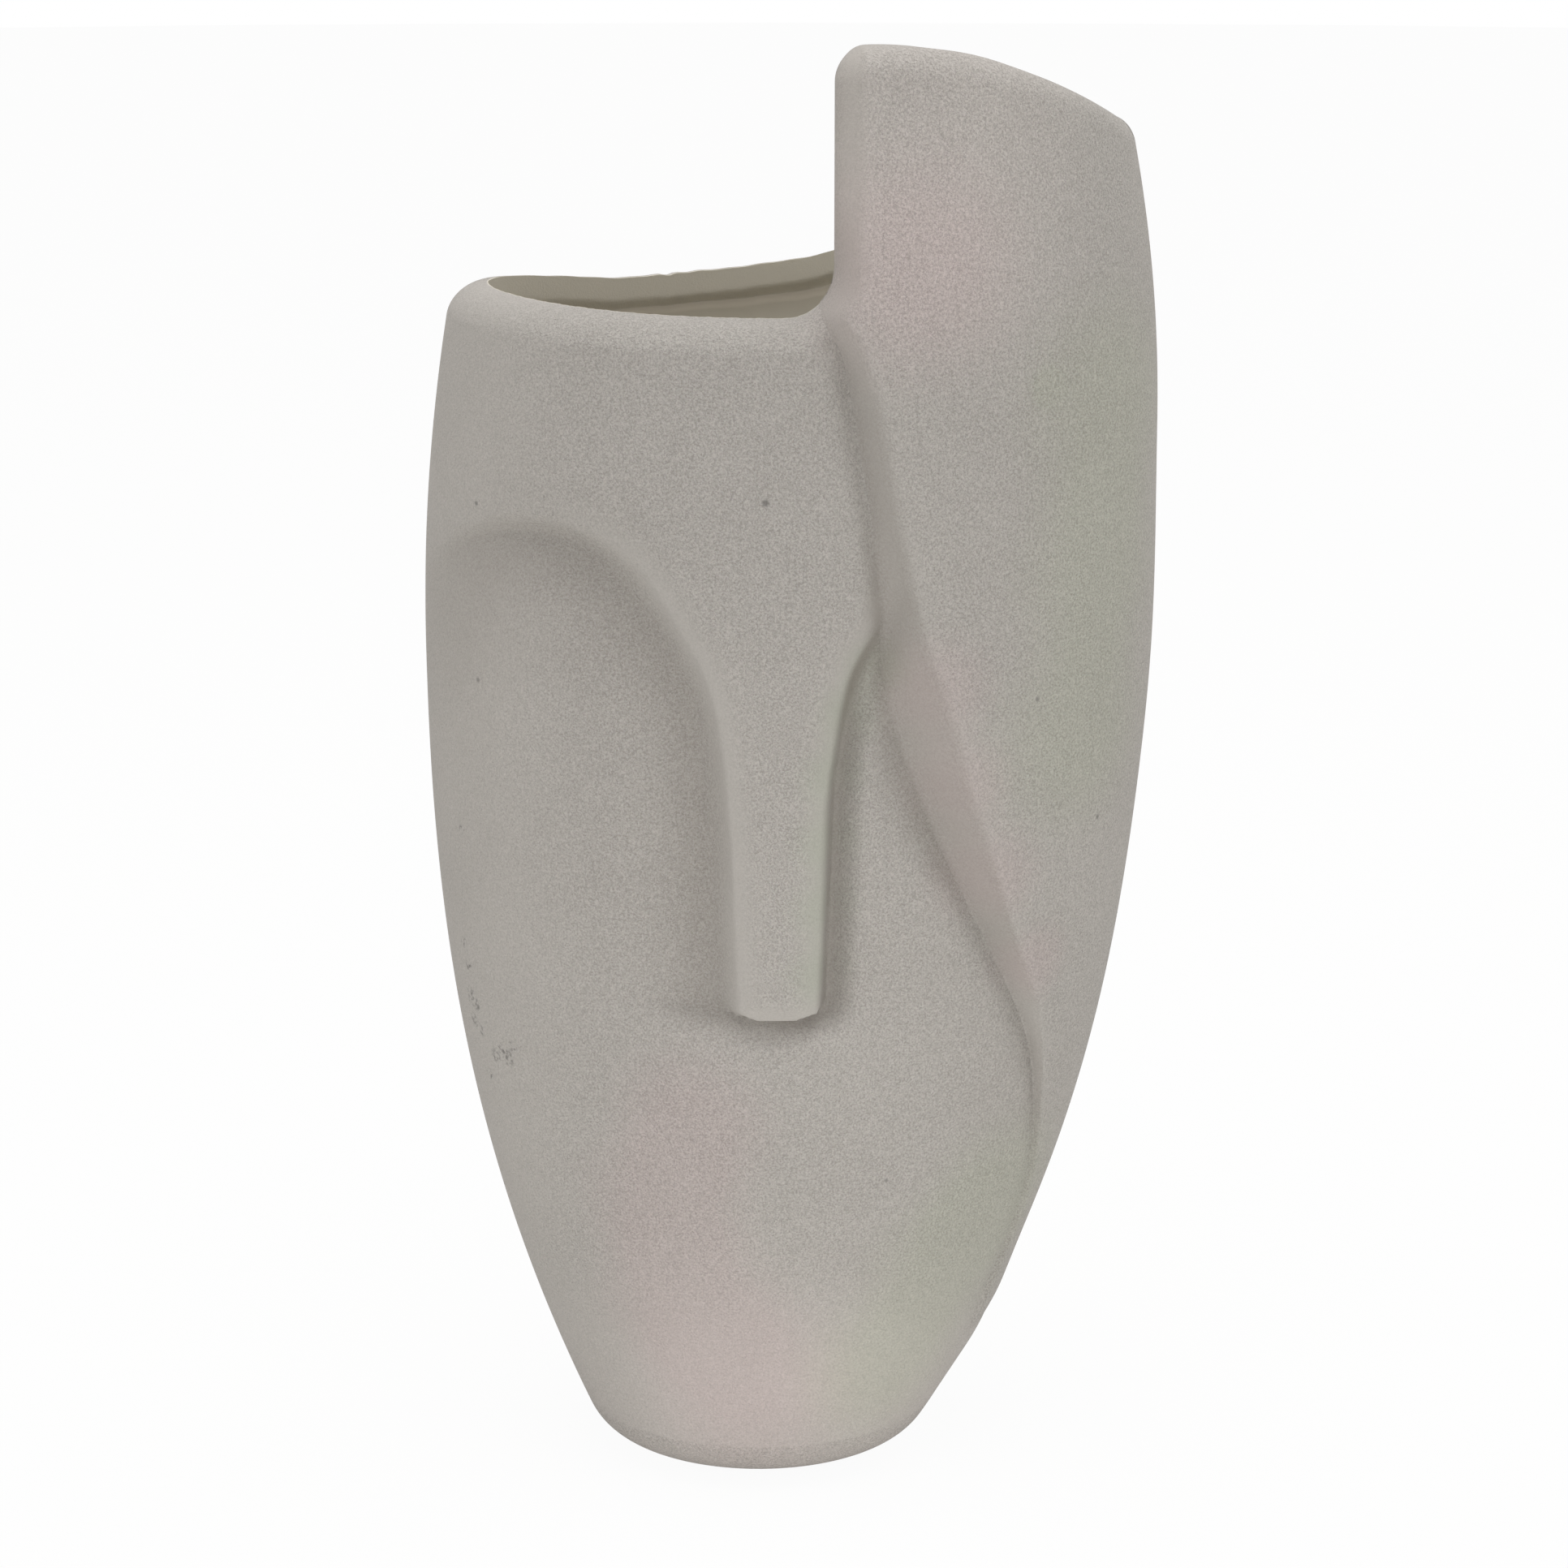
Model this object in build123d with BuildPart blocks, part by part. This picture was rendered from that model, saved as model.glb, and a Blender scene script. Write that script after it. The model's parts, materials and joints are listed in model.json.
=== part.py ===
"""Face vase: an oval stoneware vessel with a sweeping side panel and a face in relief.

Millimetres, +Z up. The origin is on the table, at the middle of the footprint of the whole vase.
The face looks along -Y. Sideways places of the relief are measured from the upright axis through the foot.
"""

import os
from math import pi, sin, sqrt

from build123d import *

# Heights above the table
RIM_HEIGHT = 224.5
PANEL_RISE = 45.5
LEFT_BELLY_HEIGHT = 159.0
RIGHT_BELLY_HEIGHT = 202.0
DEPTH_BELLY_HEIGHT = 180.0

# Reach of the vessel from its axis, at the foot and at the belly
FOOT_SIDE_REACH = 29.5
FOOT_DEPTH_REACH = 28.0
LEFT_REACH = 60.8
RIGHT_REACH = 73.0
DEPTH_REACH = 42.0

# How late each side starts to taper towards the foot, and how it closes above the belly
LEFT_FULLNESS = 2.4
RIGHT_FULLNESS = 2.95
DEPTH_FULLNESS = 2.3
LEFT_SHOULDER_RADIUS = 345.0
RIGHT_SHOULDER_RADIUS = 233.0
DEPTH_SHOULDER_RADIUS = 900.0

# Clay and glaze thicknesses
WALL = 6.5
FLOOR = 9.0
FOOT_ROUND = 10.0
GLAZE = 0.8
GLAZE_MARGIN = 4.6

# Sweep panel: its raised layer, the upright free edge and the edge that runs down to the tail
PANEL_FRONT = 6.0
PANEL_SIDE = 3.5
PANEL_RAMP_START = 18.0
PANEL_RAMP_LENGTH = 92.0
PANEL_TOP_RADIUS = 80.0
PANEL_UPRIGHT_WIDTH = 57.0
PANEL_BROW_WIDTH = 45.5
PANEL_BROW_HEIGHT = 170.0
PANEL_CHEEK_WIDTH = 35.0
PANEL_CHEEK_HEIGHT = 136.0
PANEL_JAW_WIDTH = 13.5
PANEL_JAW_HEIGHT = 88.0
PANEL_TAIL_WIDTH = 3.6
PANEL_TAIL_HEIGHT = 33.0
PANEL_TAIL_LEAN = 0.5
PANEL_CREST_OFFSET = 7.0
CORNER_RADIUS = 4.5
NOTCH_RADIUS = 6.5
SIDE_EASE_RADIUS = 32.0

# Back rim: level on the left, then climbing to the right corner
BACK_RISE = 31.0
BACK_RISE_START = -40.0
BACK_RISE_INSET = 8.0

# Brow plate: a long arch on the left and a short one that runs into the panel
BROW_RELIEF = 3.6
BROW_END_INSET = 1.2
BROW_LEFT_FALL = 6.0
BROW_PEAK_PLACE = -39.0
BROW_PEAK_HEIGHT = 188.0
BROW_RIGHT_PLACE = 26.0
BROW_RIGHT_HEIGHT = 173.0

# Nose bar: flush with the brow plate at the bridge, prouder at the tip, with a flare towards the brows
BRIDGE_HEIGHT = 146.0
NOSE_TIP_RELIEF = 5.0
NOSE_PLACE = 4.3
NOSE_TIP_WIDTH = 13.8
NOSE_BRIDGE_WIDTH = 18.8
NOSE_FLARE = 2.0
NOSE_BEVEL_WIDTH = 3.4
NOSE_BEVEL_DEPTH = 2.0
NOSE_TIP_HEIGHT = 101.0

# Felt disc under the foot
PAD_THICKNESS = 1.2
PAD_SIDE_INSET = 7.5
PAD_DEPTH_INSET = 9.5

# Working sizes
TOP_HEIGHT = RIM_HEIGHT + PANEL_RISE
FLOOR_TOP = PAD_THICKNESS + FLOOR
SPARE = 6.0
FORM_TOP = TOP_HEIGHT + SPARE
FORM_SECTIONS = 11
NOSE_SECTIONS = 5
QUARTER_TURN = 90
TOP_ARC_SHARE = 0.8
AXIS_X = (LEFT_REACH - RIGHT_REACH) / 2
AXIS_Y = PANEL_FRONT / 2
CUT_REACH = 2 * (LEFT_REACH + RIGHT_REACH)
FRONT = Plane((AXIS_X, AXIS_Y, 0), x_dir=(1, 0, 0), z_dir=(0, -1, 0))
SIDE = Plane((AXIS_X, AXIS_Y, 0), x_dir=(0, 1, 0), z_dir=(1, 0, 0))


def level(height):
    """Horizontal plane at a height, centred on the axis."""
    return Plane((AXIS_X, AXIS_Y, height))


def swell(height, foot, belly, belly_height, fullness, shoulder_radius):
    """Reach of one side: a power curve from foot to belly, then a parabola over the shoulder."""
    below = max(belly_height - height, 0) / belly_height
    above = max(height - belly_height, 0)
    return belly - (belly - foot) * below**fullness - above**2 / (2 * shoulder_radius)


def left_reach(height):
    """Left outline at a height."""
    shape = (LEFT_BELLY_HEIGHT, LEFT_FULLNESS, LEFT_SHOULDER_RADIUS)
    return swell(height, FOOT_SIDE_REACH, LEFT_REACH, *shape)


def right_reach(height):
    """Right outline at a height."""
    shape = (RIGHT_BELLY_HEIGHT, RIGHT_FULLNESS, RIGHT_SHOULDER_RADIUS)
    return swell(height, FOOT_SIDE_REACH, RIGHT_REACH, *shape)


def depth_reach(height):
    """Front and back outline at a height."""
    shape = (DEPTH_BELLY_HEIGHT, DEPTH_FULLNESS, DEPTH_SHOULDER_RADIUS)
    return swell(height, FOOT_DEPTH_REACH, DEPTH_REACH, *shape)


def ramp(height):
    """Share of the panel's full relief at a height: none at the tail, all of it from the cheek up."""
    climb = (height - PANEL_RAMP_START) / PANEL_RAMP_LENGTH
    return sin(pi / 2 * min(max(climb, 0), 1))


def oval_form(bottom, right_relief, front_relief, inset=0.0):
    """Closed solid through ovals. The right and front reliefs are lengths as functions of height."""
    with BuildPart() as form:
        for step in range(FORM_SECTIONS):
            height = bottom + (FORM_TOP - bottom) * step / (FORM_SECTIONS - 1)
            right = right_reach(height) + right_relief(height)
            left = left_reach(height)
            with BuildSketch(level(height)):
                with Locations(((right - left) / 2, 0)):
                    Ellipse((right + left) / 2 - inset, depth_reach(height) + front_relief(height) - inset)
        loft()
    return form.part


def flush(height):
    """No relief."""
    return 0.0


def behind_panel(height):
    """The face and the hollow stay inside the right outline by the panel's own thickness."""
    return -PANEL_SIDE * ramp(height)


# The forms that the pieces are cut from
hollow = oval_form(FLOOR_TOP, behind_panel, flush, WALL)
glazed_hollow = oval_form(FLOOR_TOP + GLAZE, behind_panel, flush, WALL + GLAZE)
brow_form = oval_form(PAD_THICKNESS, behind_panel, lambda height: BROW_RELIEF)
panel_form = oval_form(PAD_THICKNESS, flush, lambda height: PANEL_FRONT * ramp(height))

with BuildPart() as face_form:
    add(oval_form(PAD_THICKNESS, behind_panel, flush))
    fillet(face_form.edges().group_by(Axis.Z)[0], FOOT_ROUND)

with BuildPart() as back_form:
    add(oval_form(PAD_THICKNESS, flush, flush))
    fillet(back_form.edges().group_by(Axis.Z)[0], FOOT_ROUND)

# Places on the front view
UPRIGHT_PLACE = right_reach(RIM_HEIGHT) - PANEL_UPRIGHT_WIDTH
APEX_PLACE = UPRIGHT_PLACE + PANEL_CREST_OFFSET
ARC_CENTRE_HEIGHT = TOP_HEIGHT - PANEL_TOP_RADIUS
TOP_REACH = TOP_ARC_SHARE * PANEL_TOP_RADIUS
TOP_END = APEX_PLACE + TOP_REACH
TOP_END_HEIGHT = ARC_CENTRE_HEIGHT + sqrt(PANEL_TOP_RADIUS**2 - TOP_REACH**2)
TOP_START_HEIGHT = ARC_CENTRE_HEIGHT + sqrt(PANEL_TOP_RADIUS**2 - PANEL_CREST_OFFSET**2)

# Front outline of the mouth: low rim, notch, upright edge and the falling top of the panel
with BuildSketch(FRONT) as front_mouth:
    with BuildLine():
        Polyline(
            (TOP_END, TOP_END_HEIGHT),
            (CUT_REACH, TOP_END_HEIGHT),
            (CUT_REACH, FLOOR_TOP),
            (-CUT_REACH, FLOOR_TOP),
            (-CUT_REACH, RIM_HEIGHT),
            (UPRIGHT_PLACE, RIM_HEIGHT),
            (UPRIGHT_PLACE, TOP_START_HEIGHT),
        )
        ThreePointArc(
            (UPRIGHT_PLACE, TOP_START_HEIGHT),
            (APEX_PLACE, TOP_HEIGHT),
            (TOP_END, TOP_END_HEIGHT),
        )
    make_face()
    fillet(front_mouth.vertices().sort_by_distance((UPRIGHT_PLACE, RIM_HEIGHT))[0], NOTCH_RADIUS)
    fillet(front_mouth.vertices().sort_by_distance((UPRIGHT_PLACE, TOP_START_HEIGHT))[0], CORNER_RADIUS)

# Side outline of the right corner, which keeps the rim level where the front meets the back
SIDE_HEIGHT = RIM_HEIGHT + BACK_RISE
with BuildSketch(SIDE) as corner_mouth:
    with BuildLine():
        JernArc((0, SIDE_HEIGHT), (-1, 0), SIDE_EASE_RADIUS, -QUARTER_TURN)
        Polyline(
            (-SIDE_EASE_RADIUS, SIDE_HEIGHT + SIDE_EASE_RADIUS),
            (-CUT_REACH, SIDE_HEIGHT + SIDE_EASE_RADIUS),
            (-CUT_REACH, 0),
            (0, 0),
            (0, SIDE_HEIGHT),
        )
    make_face()

with BuildPart() as front_mouth_block:
    extrude(front_mouth.sketch, amount=CUT_REACH)
    extrude(corner_mouth.sketch, amount=CUT_REACH, both=True, mode=Mode.INTERSECT)

with BuildPart() as face_wall:
    add(face_form.part)
    add(hollow, mode=Mode.SUBTRACT)
    add(front_mouth_block.part, mode=Mode.INTERSECT)
face_wall.part.label = "face_wall"

# Back outline of the mouth: level, then a smooth climb to the right corner
BACK_RISE_END = right_reach(SIDE_HEIGHT) - BACK_RISE_INSET
BACK_EASE = (BACK_RISE_END - BACK_RISE_START) / 3


def back_mouth(drop):
    """Region between the floor and the back rim, with the rim lowered by a drop."""
    rim = RIM_HEIGHT - drop
    with BuildSketch(FRONT) as region:
        with BuildLine():
            Bezier(
                (BACK_RISE_START, rim),
                (BACK_RISE_START + BACK_EASE, rim),
                (BACK_RISE_START + 2 * BACK_EASE, rim),
                (BACK_RISE_END, rim + BACK_RISE),
            )
            Polyline(
                (BACK_RISE_END, rim + BACK_RISE),
                (CUT_REACH, rim + BACK_RISE),
                (CUT_REACH, FLOOR_TOP),
                (-CUT_REACH, FLOOR_TOP),
                (-CUT_REACH, rim),
                (BACK_RISE_START, rim),
            )
        make_face()
    return region.sketch


with BuildPart() as back_wall:
    add(back_form.part)
    add(hollow, mode=Mode.SUBTRACT)
    extrude(back_mouth(0), amount=-CUT_REACH, mode=Mode.INTERSECT)
back_wall.part.label = "back_wall"

with BuildPart() as floor_slab:
    add(back_form.part)
    split(bisect_by=level(FLOOR_TOP), keep=Keep.BOTTOM)
floor_slab.part.label = "floor_slab"


def panel_edge(height, width):
    """Point of the panel's edge, at a width from the right outline."""
    return (right_reach(height) - width, height)


# Front outline of the panel: the upright edge, then the curve that runs down to the tail
with BuildSketch(FRONT) as panel_outline:
    with BuildLine():
        Polyline(
            (UPRIGHT_PLACE, RIM_HEIGHT),
            (UPRIGHT_PLACE, FORM_TOP),
            (CUT_REACH, FORM_TOP),
            (CUT_REACH, PANEL_TAIL_HEIGHT),
            panel_edge(PANEL_TAIL_HEIGHT, PANEL_TAIL_WIDTH),
        )
        Spline(
            (UPRIGHT_PLACE, RIM_HEIGHT),
            panel_edge(PANEL_BROW_HEIGHT, PANEL_BROW_WIDTH),
            panel_edge(PANEL_CHEEK_HEIGHT, PANEL_CHEEK_WIDTH),
            panel_edge(PANEL_JAW_HEIGHT, PANEL_JAW_WIDTH),
            panel_edge(PANEL_TAIL_HEIGHT, PANEL_TAIL_WIDTH),
            tangents=((0, -1), (-PANEL_TAIL_LEAN, -1)),
        )
    make_face()

with BuildPart() as sweep_panel:
    add(panel_form)
    extrude(panel_outline.sketch, amount=CUT_REACH, mode=Mode.INTERSECT)
    add(front_mouth_block.part, mode=Mode.INTERSECT)
    add(face_form.part, mode=Mode.SUBTRACT)
sweep_panel.part.label = "sweep_panel"

BROW_LEFT_END = BROW_END_INSET - left_reach(RIM_HEIGHT)
NOSE_LEFT = NOSE_PLACE - NOSE_BRIDGE_WIDTH / 2
NOSE_RIGHT = NOSE_PLACE + NOSE_BRIDGE_WIDTH / 2

with BuildPart() as brow_plate:
    add(brow_form)
    with BuildSketch(FRONT):
        with BuildLine():
            Spline(
                (BROW_LEFT_END, BROW_PEAK_HEIGHT - BROW_LEFT_FALL),
                (BROW_PEAK_PLACE, BROW_PEAK_HEIGHT),
                tangents=((1, 1), (1, 0)),
            )
            EllipticalCenterArc(
                (BROW_PEAK_PLACE, BRIDGE_HEIGHT),
                NOSE_LEFT - BROW_PEAK_PLACE,
                BROW_PEAK_HEIGHT - BRIDGE_HEIGHT,
                start_angle=0,
                arc_size=QUARTER_TURN,
            )
            Line((NOSE_LEFT, BRIDGE_HEIGHT), (NOSE_RIGHT, BRIDGE_HEIGHT))
            EllipticalCenterArc(
                (BROW_RIGHT_PLACE, BRIDGE_HEIGHT),
                BROW_RIGHT_PLACE - NOSE_RIGHT,
                BROW_RIGHT_HEIGHT - BRIDGE_HEIGHT,
                start_angle=QUARTER_TURN,
                arc_size=QUARTER_TURN,
            )
            Polyline(
                (BROW_RIGHT_PLACE, BROW_RIGHT_HEIGHT),
                (BROW_RIGHT_PLACE, FORM_TOP),
                (BROW_LEFT_END, FORM_TOP),
                (BROW_LEFT_END, BROW_PEAK_HEIGHT - BROW_LEFT_FALL),
            )
        make_face()
    extrude(amount=CUT_REACH, mode=Mode.INTERSECT)
    extrude(panel_outline.sketch, amount=CUT_REACH, mode=Mode.SUBTRACT)
    add(front_mouth_block.part, mode=Mode.INTERSECT)
    add(face_form.part, mode=Mode.SUBTRACT)
brow_plate.part.label = "brow_plate"

with BuildPart() as nose_bar:
    for step in range(NOSE_SECTIONS):
        share = step / (NOSE_SECTIONS - 1)
        height = NOSE_TIP_HEIGHT + (BRIDGE_HEIGHT - NOSE_TIP_HEIGHT) * share
        half = (NOSE_TIP_WIDTH + (NOSE_BRIDGE_WIDTH - NOSE_TIP_WIDTH) * share**NOSE_FLARE) / 2
        front = depth_reach(height) + NOSE_TIP_RELIEF + (BROW_RELIEF - NOSE_TIP_RELIEF) * share
        root = depth_reach(height) / 2
        with BuildSketch(level(height)):
            Polygon(
                (NOSE_PLACE - half, -root),
                (NOSE_PLACE - half, NOSE_BEVEL_DEPTH - front),
                (NOSE_PLACE - half + NOSE_BEVEL_WIDTH, -front),
                (NOSE_PLACE + half - NOSE_BEVEL_WIDTH, -front),
                (NOSE_PLACE + half, NOSE_BEVEL_DEPTH - front),
                (NOSE_PLACE + half, -root),
                align=None,
            )
    loft()
    add(face_form.part, mode=Mode.SUBTRACT)
nose_bar.part.label = "nose_bar"

with BuildPart() as glaze_lining:
    add(hollow)
    add(glazed_hollow, mode=Mode.SUBTRACT)
    extrude(back_mouth(GLAZE_MARGIN), amount=CUT_REACH, both=True, mode=Mode.INTERSECT)
glaze_lining.part.label = "glaze_lining"

with BuildPart() as foot_pad:
    with BuildSketch(level(0)):
        Ellipse(FOOT_SIDE_REACH - PAD_SIDE_INSET, FOOT_DEPTH_REACH - PAD_DEPTH_INSET)
    extrude(amount=PAD_THICKNESS)
foot_pad.part.label = "foot_pad"

PIECES = (face_wall, back_wall, floor_slab, sweep_panel, brow_plate, nose_bar, glaze_lining, foot_pad)

os.makedirs("parts", exist_ok=True)
for piece in PIECES:
    export_step(piece.part, f"parts/{piece.part.label}.step")
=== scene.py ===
"""Dresses the face vase: clay walls with the face in relief, sweep panel, glaze, felt, light and camera.

Lengths are millimetres from the upright axis through the foot until a mesh is written, which is in metres.
Sideways is x, towards the viewer is -y, up is z. The angle of a place on an oval is pi at the left seam and
0 at the right seam, in front and behind alike. A Span is where a change starts and where it is complete.
A Hump is the centre, width and height of a bell curve. A Pair is any other two numbers that go together.
"""

import json
import logging
from dataclasses import dataclass, field
from enum import Enum
from typing import Union

import bpy
import numpy as np
from mathutils import Euler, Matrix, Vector

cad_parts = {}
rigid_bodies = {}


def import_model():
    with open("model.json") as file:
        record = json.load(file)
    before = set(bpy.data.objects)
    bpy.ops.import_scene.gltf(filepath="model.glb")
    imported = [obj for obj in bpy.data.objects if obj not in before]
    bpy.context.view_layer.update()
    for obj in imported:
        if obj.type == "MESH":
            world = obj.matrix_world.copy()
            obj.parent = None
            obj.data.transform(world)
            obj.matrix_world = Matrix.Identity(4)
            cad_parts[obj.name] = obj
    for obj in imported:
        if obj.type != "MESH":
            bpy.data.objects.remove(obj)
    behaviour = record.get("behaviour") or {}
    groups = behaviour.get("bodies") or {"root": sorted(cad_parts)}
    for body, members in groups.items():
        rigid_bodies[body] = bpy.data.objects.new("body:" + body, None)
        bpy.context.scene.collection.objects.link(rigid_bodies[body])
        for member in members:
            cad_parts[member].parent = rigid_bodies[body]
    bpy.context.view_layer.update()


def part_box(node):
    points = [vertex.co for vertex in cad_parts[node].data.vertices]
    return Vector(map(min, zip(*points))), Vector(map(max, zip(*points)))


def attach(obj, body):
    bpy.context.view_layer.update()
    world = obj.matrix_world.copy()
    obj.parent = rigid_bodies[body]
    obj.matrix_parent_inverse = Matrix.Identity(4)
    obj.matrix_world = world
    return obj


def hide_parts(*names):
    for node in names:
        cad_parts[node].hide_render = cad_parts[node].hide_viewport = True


LOG = logging.getLogger("face_vase")
METRE = 0.001
TINY = 1e-9
RIM_HEIGHT = 224.5
LEFT_LIFT = 1.55
WHITE = (1.0, 1.0, 1.0, 1.0)
Array = np.ndarray
Amount = Union[Array, float]
Span = tuple[float, float]
Pair = tuple[float, float]
Hump = tuple[float, float, float]
Place = tuple[float, float, float]
Colour = tuple[float, float, float, float]
Points = tuple[tuple[float, float], ...]
Places = tuple[Array, Array]
Waves = tuple[tuple[float, float, float], ...]


class Facing(Enum):
    """Which half of the vase a surface belongs to: the sign of its y."""

    FRONT = -1.0
    BACK = 1.0


class Slot(Enum):
    """The record's finishes."""

    STONEWARE = "stoneware"
    GLAZE = "liner_glaze"
    FELT = "felt"


class Trace(Enum):
    """What the making left on the surface, and where shade is painted, kept as a number at each vertex, 0 for
    none.
    """

    WIPED = "wiped"
    # Painted shade: darker colour in the valleys, along the groove, on the panel's band and under the glaze's
    # edge, where shade falls.
    PAINTED_SHADE = "painted_shade"
    GLAZED = "glazed"


def ease(start: float, end: float, value: Array) -> Array:
    """Smooth step: 0 at start, 1 at end, 3t^2 - 2t^3 between."""
    share = np.clip((value - start) / (end - start), 0.0, 1.0)
    return share * share * (3.0 - 2.0 * share)


def bell(value: Array, centre: float, width: float, height: float = 1.0) -> Array:
    """Bell curve: height exp(-((value - centre) / width)^2)."""
    return height * np.exp(-(((value - centre) / width) ** 2))


def mix(first: Amount, second: Amount, share: Amount) -> Amount:
    """First at share 0, second at share 1, in proportion between."""
    return first + (second - first) * share


def between(outside: Places, inside: Places, share: Array, z: Array) -> Array:
    """Places of (rows, columns, 3) between two walls: the outside at share 0, the inside at share 1."""
    return np.stack([mix(outside[0], inside[0], share), mix(outside[1], inside[1], share), z], axis=-1)


def ripple(x: Array, waves: Waves) -> Array:
    """Sum of sine waves, each with its height, its radians per millimetre and its phase."""
    return sum(height * np.sin(rate * x + phase) for height, rate, phase in waves)


def runs(stops: tuple[float, ...], counts: tuple[int, ...]) -> Array:
    """Places from stop to stop, each stretch cut into its own number of even steps."""
    stretches = [np.linspace(a, b, n, endpoint=False) for a, b, n in zip(stops[:-1], stops[1:], counts)]
    return np.concatenate(stretches + [np.array(stops[-1:])])


def through(points: Points, count: int) -> Array:
    """Smooth curve through points: cubic Hermite pieces with chord-length spacing and central tangents.

    Args:
        points: Places that the curve passes through.
        count: Number of samples, spread evenly over the chord length.

    Returns:
        Array of (count, 2).
    """
    knots = np.asarray(points, float)
    chord = np.concatenate([[0.0], np.cumsum(np.linalg.norm(np.diff(knots, axis=0), axis=1))])
    tangent = np.gradient(knots, chord, axis=0)
    at = np.linspace(0.0, chord[-1], count)
    piece = np.clip(np.searchsorted(chord, at, side="right") - 1, 0, len(knots) - 2)
    span = (chord[piece + 1] - chord[piece])[:, None]
    t = (at - chord[piece])[:, None] / span
    start, end = knots[piece], knots[piece + 1]
    leave, arrive = tangent[piece] * span, tangent[piece + 1] * span
    rest = start * (2 * t**3 - 3 * t**2 + 1) + end * (3 * t**2 - 2 * t**3)
    return rest + leave * (t**3 - 2 * t**2 + t) + arrive * (t**3 - t**2)


def signed_distance(x: Array, z: Array, outline: Array) -> Array:
    """Distance to a closed outline, positive inside: least distance to its segments, signed by crossings.

    Args:
        x: Sideways places.
        z: Heights, of the same shape.
        outline: Corners of (count, 2).

    Returns:
        Array of the shape of x.
    """
    start, end = outline, np.roll(outline, -1, axis=0)
    run = end - start
    px, pz = x.reshape(-1, 1), z.reshape(-1, 1)
    along = (px - start[:, 0]) * run[:, 0] + (pz - start[:, 1]) * run[:, 1]
    along = np.clip(along / np.maximum((run**2).sum(1), TINY), 0.0, 1.0)
    gap = (px - start[:, 0] - along * run[:, 0]) ** 2 + (pz - start[:, 1] - along * run[:, 1]) ** 2
    spans = (start[:, 1] > pz) != (end[:, 1] > pz)
    rise = np.where(np.abs(run[:, 1]) < TINY, TINY, run[:, 1])
    crossings = (spans & (px < start[:, 0] + run[:, 0] * (pz - start[:, 1]) / rise)).sum(1)
    signed = np.sqrt(gap.min(1)) * np.where(crossings % 2 == 1, 1.0, -1.0)
    return signed.reshape(x.shape)


@dataclass(frozen=True)
class Ramp:
    """A number that goes smoothly from first to last while another goes from start to end."""

    first: float
    last: float
    start: float
    end: float

    def at(self, value: Array) -> Array:
        """The number at each value of the other."""
        return mix(self.first, self.last, ease(self.start, self.end, value))


@dataclass(frozen=True)
class Oval:
    """A family of level ovals: sideways centre, half width and half depth, each as an array of heights."""

    centre: Array
    half_width: Array
    half_depth: Array

    def place(self, angle: Array, facing: Facing, relief: Amount = 0.0) -> Places:
        """x = centre + half width cos(angle), y = facing (half depth + relief) sin(angle)."""
        x = self.centre + self.half_width * np.cos(angle)
        return x, facing.value * (self.half_depth + relief) * np.sin(angle)

    def angle_at(self, x: Array) -> Array:
        """Angle whose place has a given x."""
        return np.arccos(np.clip((x - self.centre) / self.half_width, -1.0, 1.0))


@dataclass(frozen=True)
class Belly:
    """The widest place of an outline: reach, height, fullness below it and shoulder radius above it."""

    reach: float
    height: float
    fullness: float
    shoulder: float


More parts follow.
